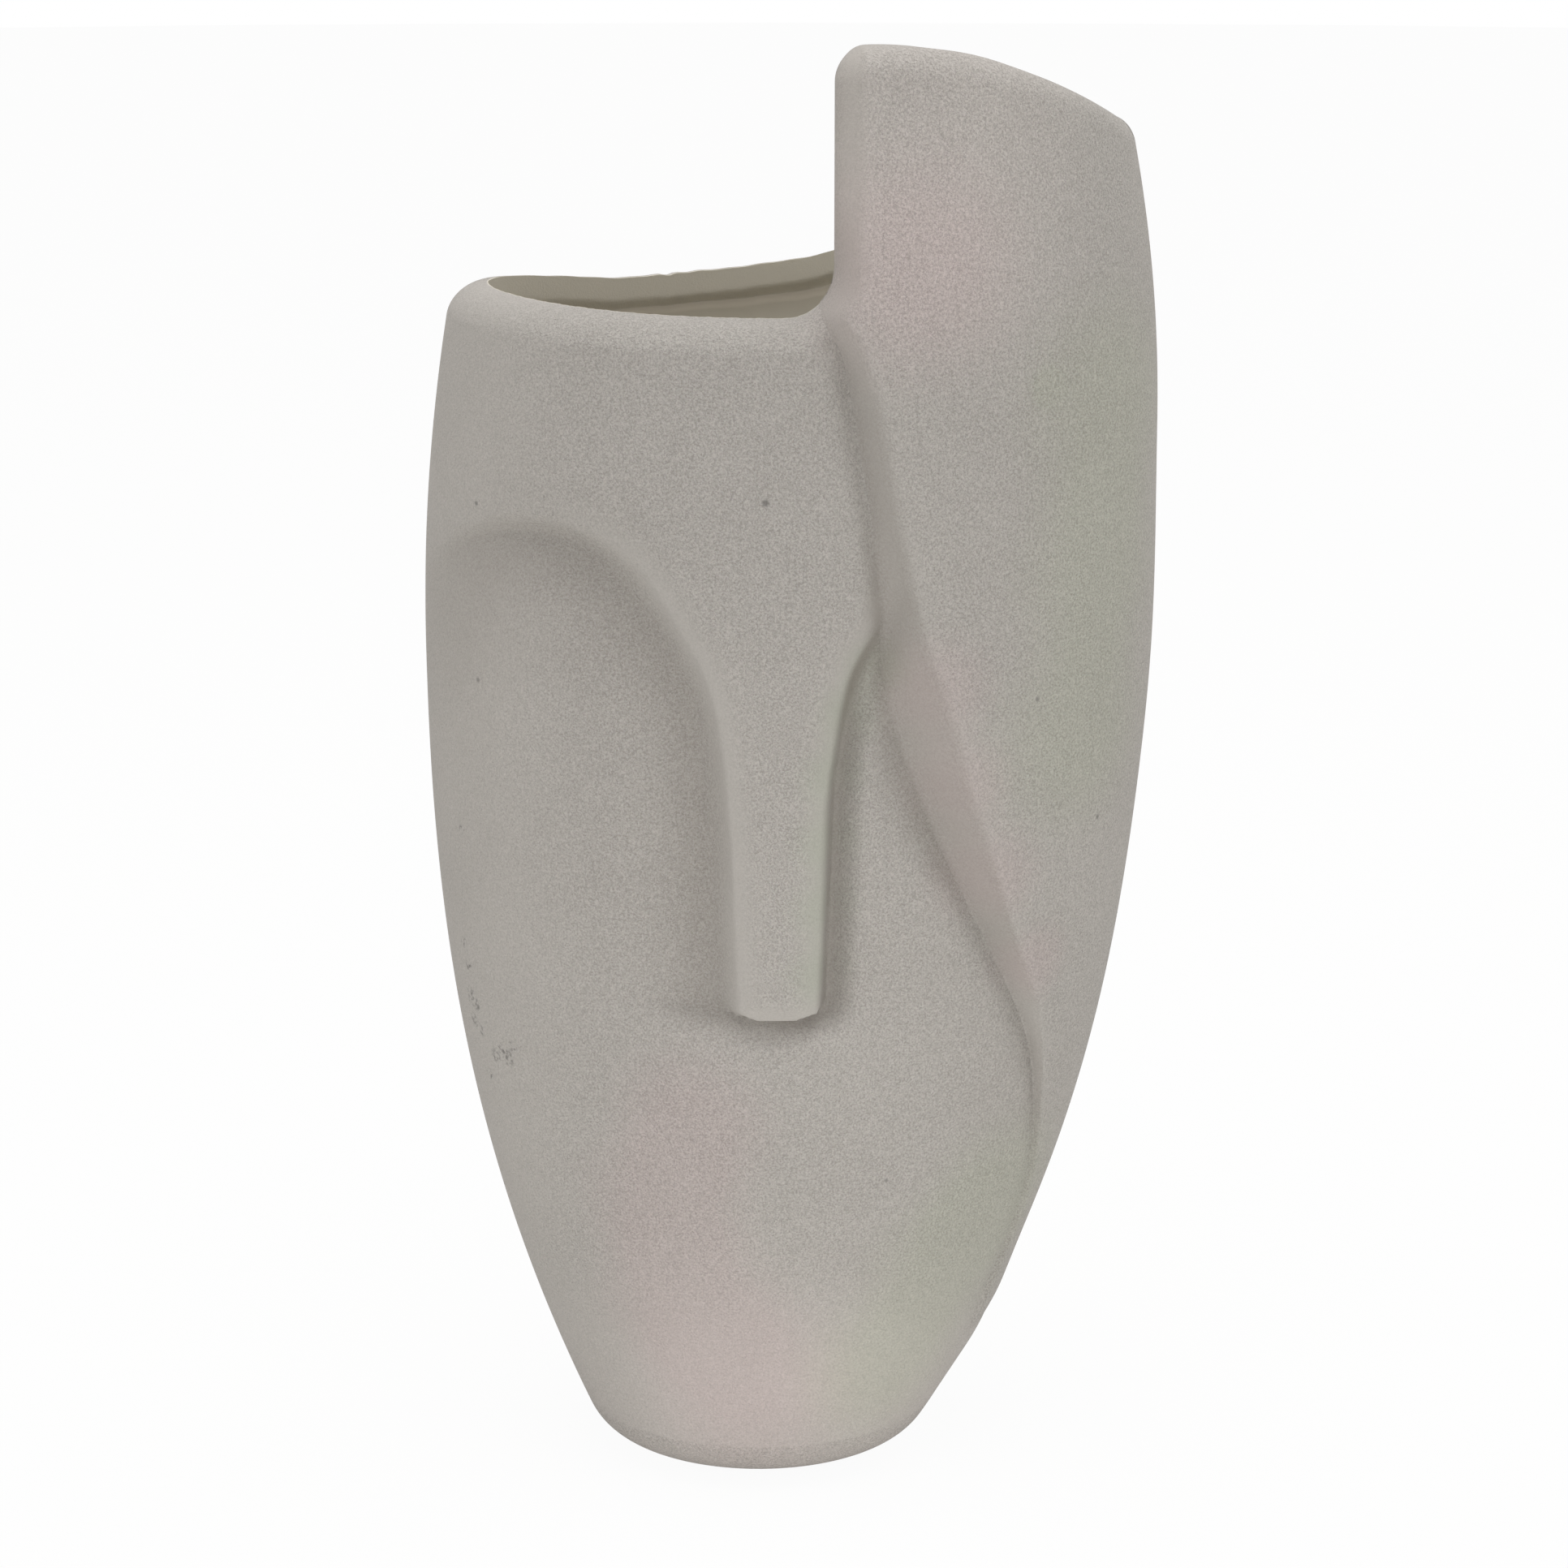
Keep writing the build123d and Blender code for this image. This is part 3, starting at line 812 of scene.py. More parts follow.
@dataclass
class FaceShell:
    """The front wall with brow, nose and cheeks in relief, rolled over at the lip.

    Columns are close together over brow and nose, rows from the nose tip to the brow.
    """

    vase: Vase
    piece: Piece = field(
        default_factory=lambda: Piece("face_shell", Slot.STONEWARE, ("face_wall", "brow_plate", "nose_bar"))
    )
    column_stops: tuple[float, ...] = (np.pi, 2.60, 1.93, 1.08, 0.60, 0.0)
    column_counts: tuple[int, ...] = (22, 46, 118, 34, 14)
    row_stops: tuple[float, ...] = (92.0, 106.0, 150.0, 193.0, 216.0)
    row_counts: tuple[int, ...] = (50, 34, 68, 84, 15)
    lip_rows: int = 18
    inner_rows: int = 44
    inner_spacing: float = 1.3
    straight_at: Span = (0.0, 10.0)
    edge_waves: Waves = ((0.025, 1.27, np.pi / 2 - 1.0), (-0.025, 2.53, np.pi / 2 + 1.0), (0.025, 4.7, 0.0))
    edge_fade: int = 4

    def build(self) -> bpy.types.Object:
        """Carries the profile (outside, lip, inside) round the front half of the ovals.

        Returns:
            The object.
        """
        form, mouth, vase = self.vase.form, self.vase.mouth, self.vase
        angle = runs(self.column_stops, self.column_counts)[None, :]
        low = runs((form.floor_top, *self.row_stops), self.row_counts)[:, None]
        low = np.repeat(low, angle.shape[1], axis=1)
        at_rim = form.face_oval(np.full_like(angle, form.rim)).place(angle, Facing.FRONT)[0]
        turn = np.linspace(0.0, np.pi / 2, self.lip_rows)[:, None]
        gaps = vase.lip_height * (1.0 - np.sin(turn))
        fade = (1.0 - gaps / vase.lip_height) ** self.edge_fade
        lip = mouth.row_height(at_rim, gaps) + ripple(at_rim, self.edge_waves) * fade
        outer_z = np.concatenate([low, lip])
        x = form.face_oval(outer_z).place(angle, Facing.FRONT)[0]
        gap = np.concatenate([mouth.face_gap(x[: len(low)], low), np.repeat(gaps, angle.shape[1], axis=1)])
        gap = np.where(at_rim > mouth.upright, mouth.face_gap(x, outer_z), gap)
        outer = self.wall(angle, outer_z, vase.face_field(x, outer_z), vase.lip_turn(gap, 0.0))
        down = np.linspace(0.0, 1.0, self.inner_rows)[:, None] ** self.inner_spacing
        inner_z = mix(outer_z[-1:], form.floor_top, down)
        inner = self.wall(angle, inner_z, 0.0, np.ones_like(inner_z))
        wiped = vase.relief.smoothness(x, outer_z)
        # Painted shade in the valleys and along the groove, where shade falls.
        painted_shade = np.maximum(vase.line.painted_shade(x, outer_z), vase.relief.painted_shade(x, outer_z))
        marks = {
            Trace.WIPED: np.concatenate([wiped, np.zeros_like(inner_z)]),
            Trace.PAINTED_SHADE: np.concatenate([painted_shade, np.zeros_like(inner_z)]),
            Trace.GLAZED: np.concatenate([np.zeros_like(outer_z), np.ones_like(inner_z)]),
        }
        return self.piece.write_half(np.concatenate([outer, inner]), marks, vase.axis)

    def wall(self, angle: Array, z: Array, relief: Amount, share: Array) -> Array:
        """Places between the outside and the hollow, which on the right is met straight behind.

        Args:
            angle: Angles on the face's oval.
            z: Heights.
            relief: Height of the relief.
            share: 0 on the outside, 1 on the hollow.

        Returns:
            Places of (rows, columns, 3).
        """
        outside = self.vase.form.face_oval(z).place(angle, Facing.FRONT, relief)
        hollow = self.vase.form.hollow_oval(z)
        met = mix(angle, hollow.angle_at(outside[0]), ease(*self.straight_at, outside[0]))
        return between(outside, hollow.place(met, Facing.FRONT), share, z)


@dataclass
class SweepPanel:
    """The raised panel: a patch from the groove and upright edge to the right seam, under the falling arc.

    Spans that end in over_notch are heights above the top of the notch.
    """

    vase: Vase
    piece: Piece = field(default_factory=lambda: Piece("sweep_panel_clay", Slot.STONEWARE, ("sweep_panel",)))
    tail: float = 22.0
    tail_sunk: Ramp = Ramp(0.0, 0.35, 34.0, 26.0)
    edge_steps: tuple[float, ...] = (
        0.0, 0.03, 0.07, 0.11, 0.15, 0.19, 0.24, 0.30, 0.37, 0.45, 0.54, 0.63, 0.72, 0.81, 0.9,
    )
    edge_limit: float = 0.5
    last_step: float = 0.12
    last_limit: float = 0.06
    least_width: float = 1.0
    rows: int = 250
    columns: int = 56
    corner_start: float = 0.75 * np.pi
    margin_over_notch: Span = (-9.0, -17.0)
    freed_over_notch: Span = (0.0, 12.0)
    slab_over_notch: Span = (-1.0, 12.0)
    shown_over_notch: Span = (-12.0, -6.0)
    hidden_share: float = 0.5
    behind_wall: float = -0.06
    lip_turns_in: Span = (30.0, 50.0)
    wiped_band: Hump = (0.5, 0.6, 0.9)
    wiped_at: Span = (60.0, 90.0)
    # Painted shade on the sloping band beside the groove.
    slope_painted_shade: float = 0.6
    slope_band: Span = (1.05, 0.85)
    slope_at: Span = (92.0, 112.0)
    high_slope: Ramp = Ramp(0.65, 1.0, 222.0, 205.0)
    glazed_at: Span = (0.8, 2.5)

    def notch_ease(self, span: Span, z: Array) -> Array:
        """Smooth step over heights counted from the top of the notch."""
        top = self.vase.mouth.notch_top
        return ease(top + span[0], top + span[1], z)

    def left_side(self, z: Array) -> Array:
        """Sideways place of the left side: under the face, then the upright edge and the round corner.

        Args:
            z: Heights.

        Returns:
            Sideways places.
        """
        mouth, line = self.vase.mouth, self.vase.line
        over = np.clip(z - mouth.corner_height, 0.0, mouth.corner)
        corner = mouth.corner_place - np.sqrt(mouth.corner**2 - over**2)
        tucked = line.groove_at(z) - line.margin * self.notch_ease(self.margin_over_notch, z)
        return np.where(z > mouth.corner_height, corner, tucked)

    def top_side(self, share: Array) -> Places:
        """Places along the top: half the round corner, then the arc to the right seam, by share of length.

        Args:
            share: Shares of the length, from the left.

        Returns:
            x and z of each place.
        """
        mouth, form = self.vase.mouth, self.vase.form
        lean = np.arccos((mouth.corner_place - mouth.arc_place) / (mouth.arc_radius - mouth.corner))
        seam = form.right(np.full(1, form.right_rim))[0]
        end = np.arccos((seam - mouth.arc_place) / mouth.arc_radius)
        bend = mouth.corner * (self.corner_start - lean)
        along = share * (bend + mouth.arc_radius * (lean - end))
        first = self.corner_start - np.minimum(along, bend) / mouth.corner
        second = lean - np.maximum(along - bend, 0.0) / mouth.arc_radius
        corner_x = mouth.corner_place + mouth.corner * np.cos(first)
        corner_z = mouth.corner_height + mouth.corner * np.sin(first)
        arc_x = mouth.arc_place + mouth.arc_radius * np.cos(second)
        arc_z = mouth.arc_height + mouth.arc_radius * np.sin(second)
        return np.where(along < bend, corner_x, arc_x), np.where(along < bend, corner_z, arc_z)

    def panel_oval(self, z: Array) -> Oval:
        """Outside of the panel before its relief: the full right outline, sunk under the face at the tail."""
        return self.vase.form.oval(z, self.tail_sunk.at(z))

    def patch(self) -> tuple[Array, Array]:
        """Angles and heights of the grid: a Coons patch between the four sides.

        Returns:
            Angle and height, each of (rows, columns).
        """
        mouth, slab_lip = self.vase.mouth, self.vase.slab_lip
        high = mouth.corner_height + mouth.corner * np.sin(self.corner_start)
        steps = np.array(self.edge_steps)
        fine = (steps[::-1] * slab_lip) / (high - self.tail)
        below = np.linspace(0.0, 1.0 - slab_lip / (high - self.tail), self.rows)
        v = np.concatenate([below, 1.0 - fine])[:, None]
        left_z = mix(self.tail, high, v)
        oval = self.panel_oval(left_z)
        left_angle = oval.angle_at(self.left_side(left_z))
        band = np.where(left_z < mouth.notch_top, self.vase.line.band_at(left_z), slab_lip)
        band = band + self.vase.line.margin
        width = np.maximum(oval.half_width * left_angle, self.least_width)
        near = np.minimum(steps * band / width, self.edge_limit * steps)
        edge = near[:, -1:] + np.minimum(self.last_step * band / width, self.last_limit)
        far = mix(edge, 1.0, np.linspace(0.0, 1.0, self.columns)[None, :])
        u = np.concatenate([near, far], axis=1)
        top_x, top_z = self.top_side(u)
        top_angle = np.where(u >= 1.0, 0.0, self.panel_oval(top_z).angle_at(top_x))
        right_z = mix(self.tail, self.vase.form.right_rim, v)
        angle = (1 - u) * left_angle + v * top_angle - (1 - u) * v * left_angle[-1:]
        z = (1 - u) * left_z + u * right_z + v * top_z - (1 - u) * v * high - u * v * right_z[-1:]
        return np.maximum(angle, 0.0), z

    def outside(self, angle: Array, z: Array) -> Places:
        """Places of the outside: on the face at the groove, at the panel's own height from the crest on.

        Above the notch the left side leaves the face and is the slab's own rounded edge.

        Args:
            angle: Angles on the panel's oval.
            z: Heights, of the same shape.

        Returns:
            x and y of each place.
        """
        vase, line = self.vase, self.vase.line
        x, y = self.panel_oval(z).place(angle, Facing.FRONT, line.relief_at(z))
        past = x - line.groove_at(z)
        face = vase.face_depth(x, z) + line.sink * np.clip(-past / line.margin, 0.0, 1.0)
        blend = line.climb(np.clip(past / line.band_at(z), 0.0, 1.0))
        return x, mix(y, face, (1.0 - blend) * (1.0 - self.notch_ease(self.freed_over_notch, z)))

    def build(self) -> bpy.types.Object:
        """Closes the patch with its hidden or inner side, and with strips along the top and the tail.

        Returns:
            The object.
        """
        vase, mouth = self.vase, self.vase.mouth
        angle, z = self.patch()
        x, y = self.outside(angle, z)
        turn = vase.lip_turn(mouth.panel_gap(x, z), self.notch_ease(self.slab_over_notch, z))
        turn = np.maximum(turn, vase.lip_turn(mouth.arc_gap(x, z), 1.0))
        hollow = vase.form.hollow_oval(z)
        behind = mix(hollow.angle_at(x), angle, ease(*self.lip_turns_in, x))
        out = between((x, y), hollow.place(behind, Facing.FRONT), turn, z)
        inner_angle = hollow.angle_at(x[:, :1])[:, :1] * angle / np.maximum(angle[:, :1], TINY)
        inner = hollow.place(inner_angle, Facing.FRONT, self.behind_wall)
        bare = vase.form.face_oval(z).place(angle, Facing.FRONT)
        share = mix(self.hidden_share, 1.0, self.notch_ease(self.shown_over_notch, z))
        ins = between(bare, inner, share, z)
        grid = np.concatenate([out[:, ::-1], ins], axis=1)
        index = numbers(grid)
        half = angle.shape[1]
        top = np.stack([index[-1, :half][::-1], index[-1, half:]])
        bottom = np.stack([index[0, half:], index[0, :half][::-1]])
        quads = np.concatenate([grid_faces(index, around=True), grid_faces(top), grid_faces(bottom)])
        return self.piece.write(grid.reshape(-1, 3), quads, [], self.marks(x, z), vase.axis)

    def marks(self, x: Array, z: Array) -> dict[Trace, Array]:
        """Traces of the making and painted shade: the band wiped, painted shade in the groove and on the
        band, the inner side glazed nearly to its edge.

        Args:
            x: Sideways places of the outside.
            z: Heights, of the same shape.

        Returns:
            Each trace on the outside, from the right, and then on the inner side.
        """
        vase, nothing = self.vase, np.zeros_like(z)
        band = (x - vase.line.groove_at(z)) / vase.line.band_at(z)
        wiped = bell(band, *self.wiped_band) * ease(*self.wiped_at, z)
        # Painted shade on the sloping band, darker where shade falls.
        slope = self.slope_painted_shade * self.high_slope.at(z) * ease(*self.slope_band, band)
        slope = slope * ease(*self.slope_at, z)
        painted_shade = np.maximum(vase.line.painted_shade(x, z), slope)
        glazed = ease(*self.glazed_at, vase.mouth.panel_gap(x, z))
        return {
            Trace.WIPED: np.concatenate([wiped[:, ::-1], nothing], axis=1),
            Trace.PAINTED_SHADE: np.concatenate([painted_shade[:, ::-1], nothing], axis=1),
            Trace.GLAZED: np.concatenate([nothing, glazed], axis=1),
        }


@dataclass
class BackShell:
    """The plain back wall, whose rim climbs to the right and has a chipped spot."""

    vase: Vase
    piece: Piece = field(default_factory=lambda: Piece("back_shell", Slot.STONEWARE, ("back_wall",)))
    columns: int = 181
    rows: int = 110
    lip_rows: int = 16
    inner_stops: tuple[float, ...] = (0.0, 0.03, 1.0)
    inner_counts: tuple[int, ...] = (15, 41)
    slab_at: Span = (20.0, 66.0)
    edge_waves: Waves = ((0.10, 0.31, 0.4), (0.05, 0.9, 0.0))
    chip: Hump = (-18.4, 1.1, 0.5)
    small_chip: Hump = (-14.0, 1.6, 0.25)
    bead: float = 1.0
    bead_depth: float = 6.6
    bead_full: float = 0.6
    glazed_at: Span = (2.5, 0.8)

    def build(self) -> bpy.types.Object:
        """Carries the profile (outside, lip, inside with its bead) round the back half of the ovals.

        Returns:
            The object.
        """
        form, vase = self.vase.form, self.vase
        angle = np.linspace(np.pi, 0.0, self.columns)[None, :]
        ends = np.sqrt(np.sin(angle))
        at_rim = form.oval(np.full_like(angle, form.rim)).place(angle, Facing.BACK)[0]
        across = ease(*self.slab_at, at_rim)
        height, share = vase.lip(across)
        chip = bell(at_rim, *self.chip) + bell(at_rim, *self.small_chip)
        rim = form.back_rim(at_rim) + (ripple(at_rim, self.edge_waves) - chip) * ends
        low = mix(form.floor_top, rim - height, np.linspace(0.0, 1.0, self.rows)[:, None])
        turn = np.linspace(0.0, np.pi / 2, self.lip_rows)[1:, None]
        outer_z = np.concatenate([low, rim - height * (1.0 - np.sin(turn))])
        turned = np.concatenate([np.zeros_like(low), share * (1.0 - np.cos(turn))])
        outer = self.wall(angle, outer_z, turned)
        inner_z = mix(rim, form.floor_top, runs(self.inner_stops, self.inner_counts)[:, None])
        bead = self.bead * ease(self.bead_depth, self.bead_full * self.bead_depth, rim - inner_z) * ends
        inner = self.wall(angle, inner_z, 1.0 + bead / form.wall)
        bare = across * ease(*self.glazed_at, rim - inner_z)
        marks = {Trace.GLAZED: np.concatenate([np.zeros_like(outer_z), 1.0 - bare])}
        return self.piece.write_half(np.concatenate([outer, inner]), marks, vase.axis)

    def wall(self, angle: Array, z: Array, share: Array) -> Array:
        """Places between the outside and the hollow."""
        ovals = (self.vase.form.oval(z), self.vase.form.hollow_oval(z))
        return between(*(oval.place(angle, Facing.BACK) for oval in ovals), share, z)


@dataclass
class RoundPiece:
    """A closed piece whose level rings shrink to a point below and above."""

    vase: Vase
    piece: Piece

    def close(self, rings: Array, low: float, high: float, painted_shade: Amount = 0.0) -> bpy.types.Object:
        """Adds a point under the first ring and over the last, and fans of triangles to them.

        Args:
            rings: Places of (rings, columns, 3).
            low: Height of the first point.
            high: Height of the last point.
            painted_shade: How much shade is painted on each ring.

        Returns:
            The object.
        """
        index = numbers(rings)
        ends = np.array([[*rings[0].mean(0)[:2], low], [*rings[-1].mean(0)[:2], high]])
        points = np.concatenate([rings.reshape(-1, 3), ends])
        first, last = index.size, index.size + 1
        below = np.stack([np.full(index.shape[1], first), np.roll(index[0], -1), index[0]], axis=1)
        above = np.stack([np.full(index.shape[1], last), index[-1], np.roll(index[-1], -1)], axis=1)
        caps = np.concatenate([below, above]).tolist()
        shades = np.concatenate([(painted_shade + np.zeros(rings.shape[:2])).reshape(-1), np.zeros(2)])
        quads = grid_faces(index, around=True)
        return self.piece.write(points, quads, caps, {Trace.PAINTED_SHADE: shades}, self.vase.axis)

    @staticmethod
    def around(count: int) -> Array:
        """Directions of the columns of a ring."""
        return np.linspace(0.0, 2 * np.pi, count + 1)[None, :-1]

    @staticmethod
    def ring(oval: Oval, around: Array, z: Array) -> Array:
        """Whole level ovals: x = centre + half width cos, y = half depth sin.

        Args:
            oval: Ovals, one for each height.
            around: Directions of the columns.
            z: Heights.

        Returns:
            Places of (rings, columns, 3).
        """
        x = oval.centre + oval.half_width * np.cos(around)
        y = oval.half_depth * np.sin(around)
        return np.stack([x, y, z + 0.0 * x], axis=-1)

    @staticmethod
    def filled(ring: Array, smallest: float = 0.1, count: int = 7) -> Array:
        """Rings that grow evenly from a small share of a ring to just inside it."""
        middle = ring.mean(1, keepdims=True)
        return mix(middle, ring, np.linspace(smallest, 1.0, count + 1)[:-1, None, None])


@dataclass
class FloorSlab(RoundPiece):
    """The thrown floor with the rounded foot."""

    piece: Piece = field(default_factory=lambda: Piece("floor_clay", Slot.STONEWARE, ("floor_slab",)))
    columns: int = 360
    rows: int = 22

    def build(self) -> bpy.types.Object:
        """Rings out along the underside, round the foot, up to the floor's top and in again.

        Returns:
            The object.
        """
        form = self.vase.form
        turn = np.linspace(0.0, np.pi / 2, self.rows)[:, None]
        z = mix(form.underside, form.floor_top, 1.0 - np.cos(turn))
        foot = self.ring(form.oval(z), self.around(self.columns), z)
        rings = np.concatenate([self.filled(foot[:1]), foot, self.filled(foot[-1:])[::-1]])
        return self.close(rings, form.underside, form.floor_top)


@dataclass
class GlazeSkin(RoundPiece):
    """The glaze that lines the hollow, with a soft, slightly wavy edge under the rim."""

    piece: Piece = field(default_factory=lambda: Piece("glaze_skin", Slot.GLAZE, ("glaze_lining",)))
    columns: int = 240
    rows: int = 70
    edge_rows: int = 9
    thickness: float = 0.8
    margin: float = 5.8
    taper: float = 2.0
    edge_waves: Waves = ((0.12, 0.5, 0.0), (0.08, 1.3, 0.0))
    # Painted shade under the bead, just below the glaze's edge: its middle and width below the edge.
    edge_painted_shade: Pair = (0.6, 1.6)

    def build(self) -> bpy.types.Object:
        """Rings out over the floor, up the walls, over the edge, down inside and in again.

        Returns:
            The object.
        """
        form, around = self.vase.form, self.around(self.columns)
        at_rim = form.hollow_oval(np.full_like(around, form.rim)).place(around, Facing.BACK)[0]
        edge = form.back_rim(at_rim) - self.margin + ripple(at_rim, self.edge_waves)
        up = np.linspace(0.0, 1.0, self.rows)[:, None]
        out_z = mix(form.floor_top, edge, up)
        outside = self.ring(form.hollow_oval(out_z), around, out_z)
        taper = np.linspace(0.0, 1.0, self.edge_rows)[1:, None]
        roll_z = edge - self.taper * taper
        skin = self.thickness * np.sin(np.pi / 2 * taper)
        rolled = self.ring(form.hollow_oval(roll_z, skin), around, roll_z)
        bottom = form.floor_top + self.thickness
        in_z = mix(bottom, roll_z[-1:], up[::-1])
        inside = self.ring(form.hollow_oval(in_z, self.thickness), around, in_z)
        below, above = self.filled(outside[:1]), self.filled(inside[-1:])[::-1]
        rings = np.concatenate([below, outside, rolled, inside[1:], above])
        # The last number is the painted shade below the glaze's edge, under the bead.
        return self.close(rings, form.floor_top, bottom, bell(edge - rings[:, :, 2], *self.edge_painted_shade))


@dataclass
class FeltDisc(RoundPiece):
    """The felt under the foot, an oval disc with a pressed edge."""

    piece: Piece = field(default_factory=lambda: Piece("felt_disc", Slot.FELT, ("foot_pad",)))
    columns: int = 240
    edge_rows: int = 6
    half_width: float = 22.0
    half_depth: float = 18.5
    round: float = 0.35
    smallest: float = 0.12
    rings: int = 8

    def build(self) -> bpy.types.Object:
        """Rings out along the underside, round the edge and in again on top.

        Returns:
            The object.
        """
        turn = np.linspace(0.0, np.pi / 2, self.edge_rows)[:, None]
        top = self.vase.form.underside
        in_low, z_low = self.round * (1 - np.sin(turn)), self.round * (1 - np.cos(turn))
        inset = np.concatenate([in_low, in_low[::-1]])
        z = np.concatenate([z_low, top - z_low[::-1]])
        edge = Oval(np.zeros_like(z), self.half_width - inset, self.half_depth - inset)
        rim = self.ring(edge, self.around(self.columns), z)
        under, over = (self.filled(side, self.smallest, self.rings) for side in (rim[:1], rim[-1:]))
        return self.close(np.concatenate([under, rim, over[::-1]]), 0.0, top)


Value = Union["Wire", float, int, tuple]


class Wire:
    """An output socket, with arithmetic that adds Math nodes."""

    def __init__(self, shader: "Shader", socket: bpy.types.NodeSocket) -> None:
        """Keeps the tree and the socket."""
        self.shader = shader
        self.socket = socket

    def math(self, operation: str, first: Value, second: Value = 0.0) -> "Wire":
        """One Math node."""
        return self.shader.add("ShaderNodeMath", {"operation": operation}, {0: first, 1: second})

    def __add__(self, other: Value) -> "Wire":
        """self + other."""
        return self.math("ADD", self, other)

    def __radd__(self, other: Value) -> "Wire":
        """other + self."""
        return self.math("ADD", other, self)

    def __sub__(self, other: Value) -> "Wire":
        """self - other."""
        return self.math("SUBTRACT", self, other)

    def __rsub__(self, other: Value) -> "Wire":
        """other - self."""
        return self.math("SUBTRACT", other, self)

    def __mul__(self, other: Value) -> "Wire":
        """self * other."""
        return self.math("MULTIPLY", self, other)

    def __rmul__(self, other: Value) -> "Wire":
        """other * self."""
        return self.math("MULTIPLY", other, self)

    def limited(self) -> "Wire":
        """Held between 0 and 1."""
        return self.math("MINIMUM", self.math("MAXIMUM", self, 0.0), 1.0)

    def swing(self, middle: float, width: float) -> "Wire":
        """A noise, which swings about 0.5, made to swing about another middle, held between 0 and 1."""
        return (middle + (self - 0.5) * width).limited()


@dataclass(frozen=True)
class Grain:
    """A noise: size of its lumps in millimetres, detail and roughness."""

    size: float
    detail: float = 2.0
    roughness: float = 0.5


@dataclass(frozen=True)
class Mark:
    """A spot on the clay: where it is in the frame, and how far it spreads, in millimetres."""

    place: Place
    size: float


def spotted(*rows: tuple[float, float, float, float]) -> tuple[Mark, ...]:
    """Marks from rows of x, y, z and size."""
    return tuple(Mark(row[:3], row[3]) for row in rows)


class Shader:
    """The node tree of a material or the world, from an empty one to a finished surface."""

    def __init__(self, owner: Union[bpy.types.Material, bpy.types.World]) -> None:
        """Clears the owner's tree down to its output.

        Args:
            owner: The material or the world.
        """
        owner.use_nodes = True
        self.owner = owner
        self.tree = owner.node_tree
        self.tree.nodes.clear()
        world = isinstance(owner, bpy.types.World)
        self.output = self.tree.nodes.new("ShaderNodeOutputWorld" if world else "ShaderNodeOutputMaterial")

    def add(self, kind: str, settings: dict, inputs: dict, output: Union[int, str] = 0) -> Wire:
        """Adds a node.

        Args:
            kind: Node type.
            settings: Attributes, set first.
            inputs: Values or wires by socket name or number.
            output: Which output to return.

        Returns:
            The output as a wire.
        """
        node = self.tree.nodes.new(kind)
        for name, value in settings.items():
            setattr(node, name, value)
        for key, value in inputs.items():
            if isinstance(value, Wire):
                self.tree.links.new(value.socket, node.inputs[key])
            else:
                node.inputs[key].default_value = value
        return Wire(self, node.outputs[output])

    def place(self) -> Wire:
        """Object coordinates."""
        return self.add("ShaderNodeTexCoord", {}, {}, "Object")

    def trace(self, trace: Trace) -> Wire:
        """A trace of the making, from the mesh."""
        return self.add("ShaderNodeAttribute", {"attribute_name": trace.value}, {}, "Fac")

    def noise(self, place: Wire, grain: Grain) -> Wire:
        """Noise of a given grain."""
        inputs = {"Scale": 1.0 / (grain.size * METRE), "Detail": grain.detail, "Roughness": grain.roughness}
        return self.add("ShaderNodeTexNoise", {}, {"Vector": place, **inputs})

    def blob(self, place: Wire, mark: Mark, core: float) -> Wire:
        """1 within a share of the mark's size, 0 beyond its size.

        Args:
            place: Object coordinates.
            mark: The spot.
            core: The share of its size that is full.

        Returns:
            The spot, 0 to 1.
        """
        at = tuple(value * METRE for value in mark.place)
        gap = self.add("ShaderNodeVectorMath", {"operation": "DISTANCE"}, {0: place, 1: at}, "Value")
        outer, inner = mark.size * METRE, core * mark.size * METRE
        limits = {"From Min": outer, "From Max": inner, "To Min": 0.0, "To Max": 1.0, "Value": gap}
        return self.add("ShaderNodeMapRange", {"interpolation_type": "SMOOTHSTEP"}, limits)

    def spots(self, place: Wire, marks: tuple[Mark, ...], core: float) -> Wire:
        """Sum of round spots, each full within a share of its size and gone at its size.

        Args:
            place: Object coordinates.
            marks: The spots.
            core: The share of each size that is full.

        Returns:
            The sum, held between 0 and 1.
        """
        total = 0.0
        for mark in marks:
            total = total + self.blob(place, mark, core)
        return total.limited()

    def blend(self, share: Value, first: Value, second: Value, mode: str = "MIX") -> Wire:
        """Mix of two colours, which are sockets 6 and 7 of the node; the result is its output 2."""
        settings = {"data_type": "RGBA", "blend_type": mode, "clamp_factor": True}
        return self.add("ShaderNodeMix", settings, {0: share, 6: first, 7: second}, 2)

    def bump(self, height: Wire, distance: float, strength: float) -> Wire:
        """Bump of a height in millimetres."""
        inputs = {"Height": height, "Distance": distance * METRE, "Strength": strength}
        return self.add("ShaderNodeBump", {}, inputs, "Normal")

    def finish(self, inputs: dict) -> bpy.types.Material:
        """Adds the Principled surface."""
        self.close(self.add("ShaderNodeBsdfPrincipled", {}, inputs, "BSDF"))
        return self.owner

    def close(self, surface: Wire) -> None:
        """Links a surface to the output."""
        self.tree.links.new(surface.socket, self.output.inputs["Surface"])

    def seen(self) -> Wire:
        """1 for the camera and for what shows in gloss and glass, 0 for the light on everything else.

        Returns:
            The share, by ray.
        """
        rays = ("Is Camera Ray", "Is Glossy Ray", "Is Transmission Ray")
        camera, gloss, glass = (self.add("ShaderNodeLightPath", {}, {}, ray) for ray in rays)
        return (camera + gloss + glass).limited()


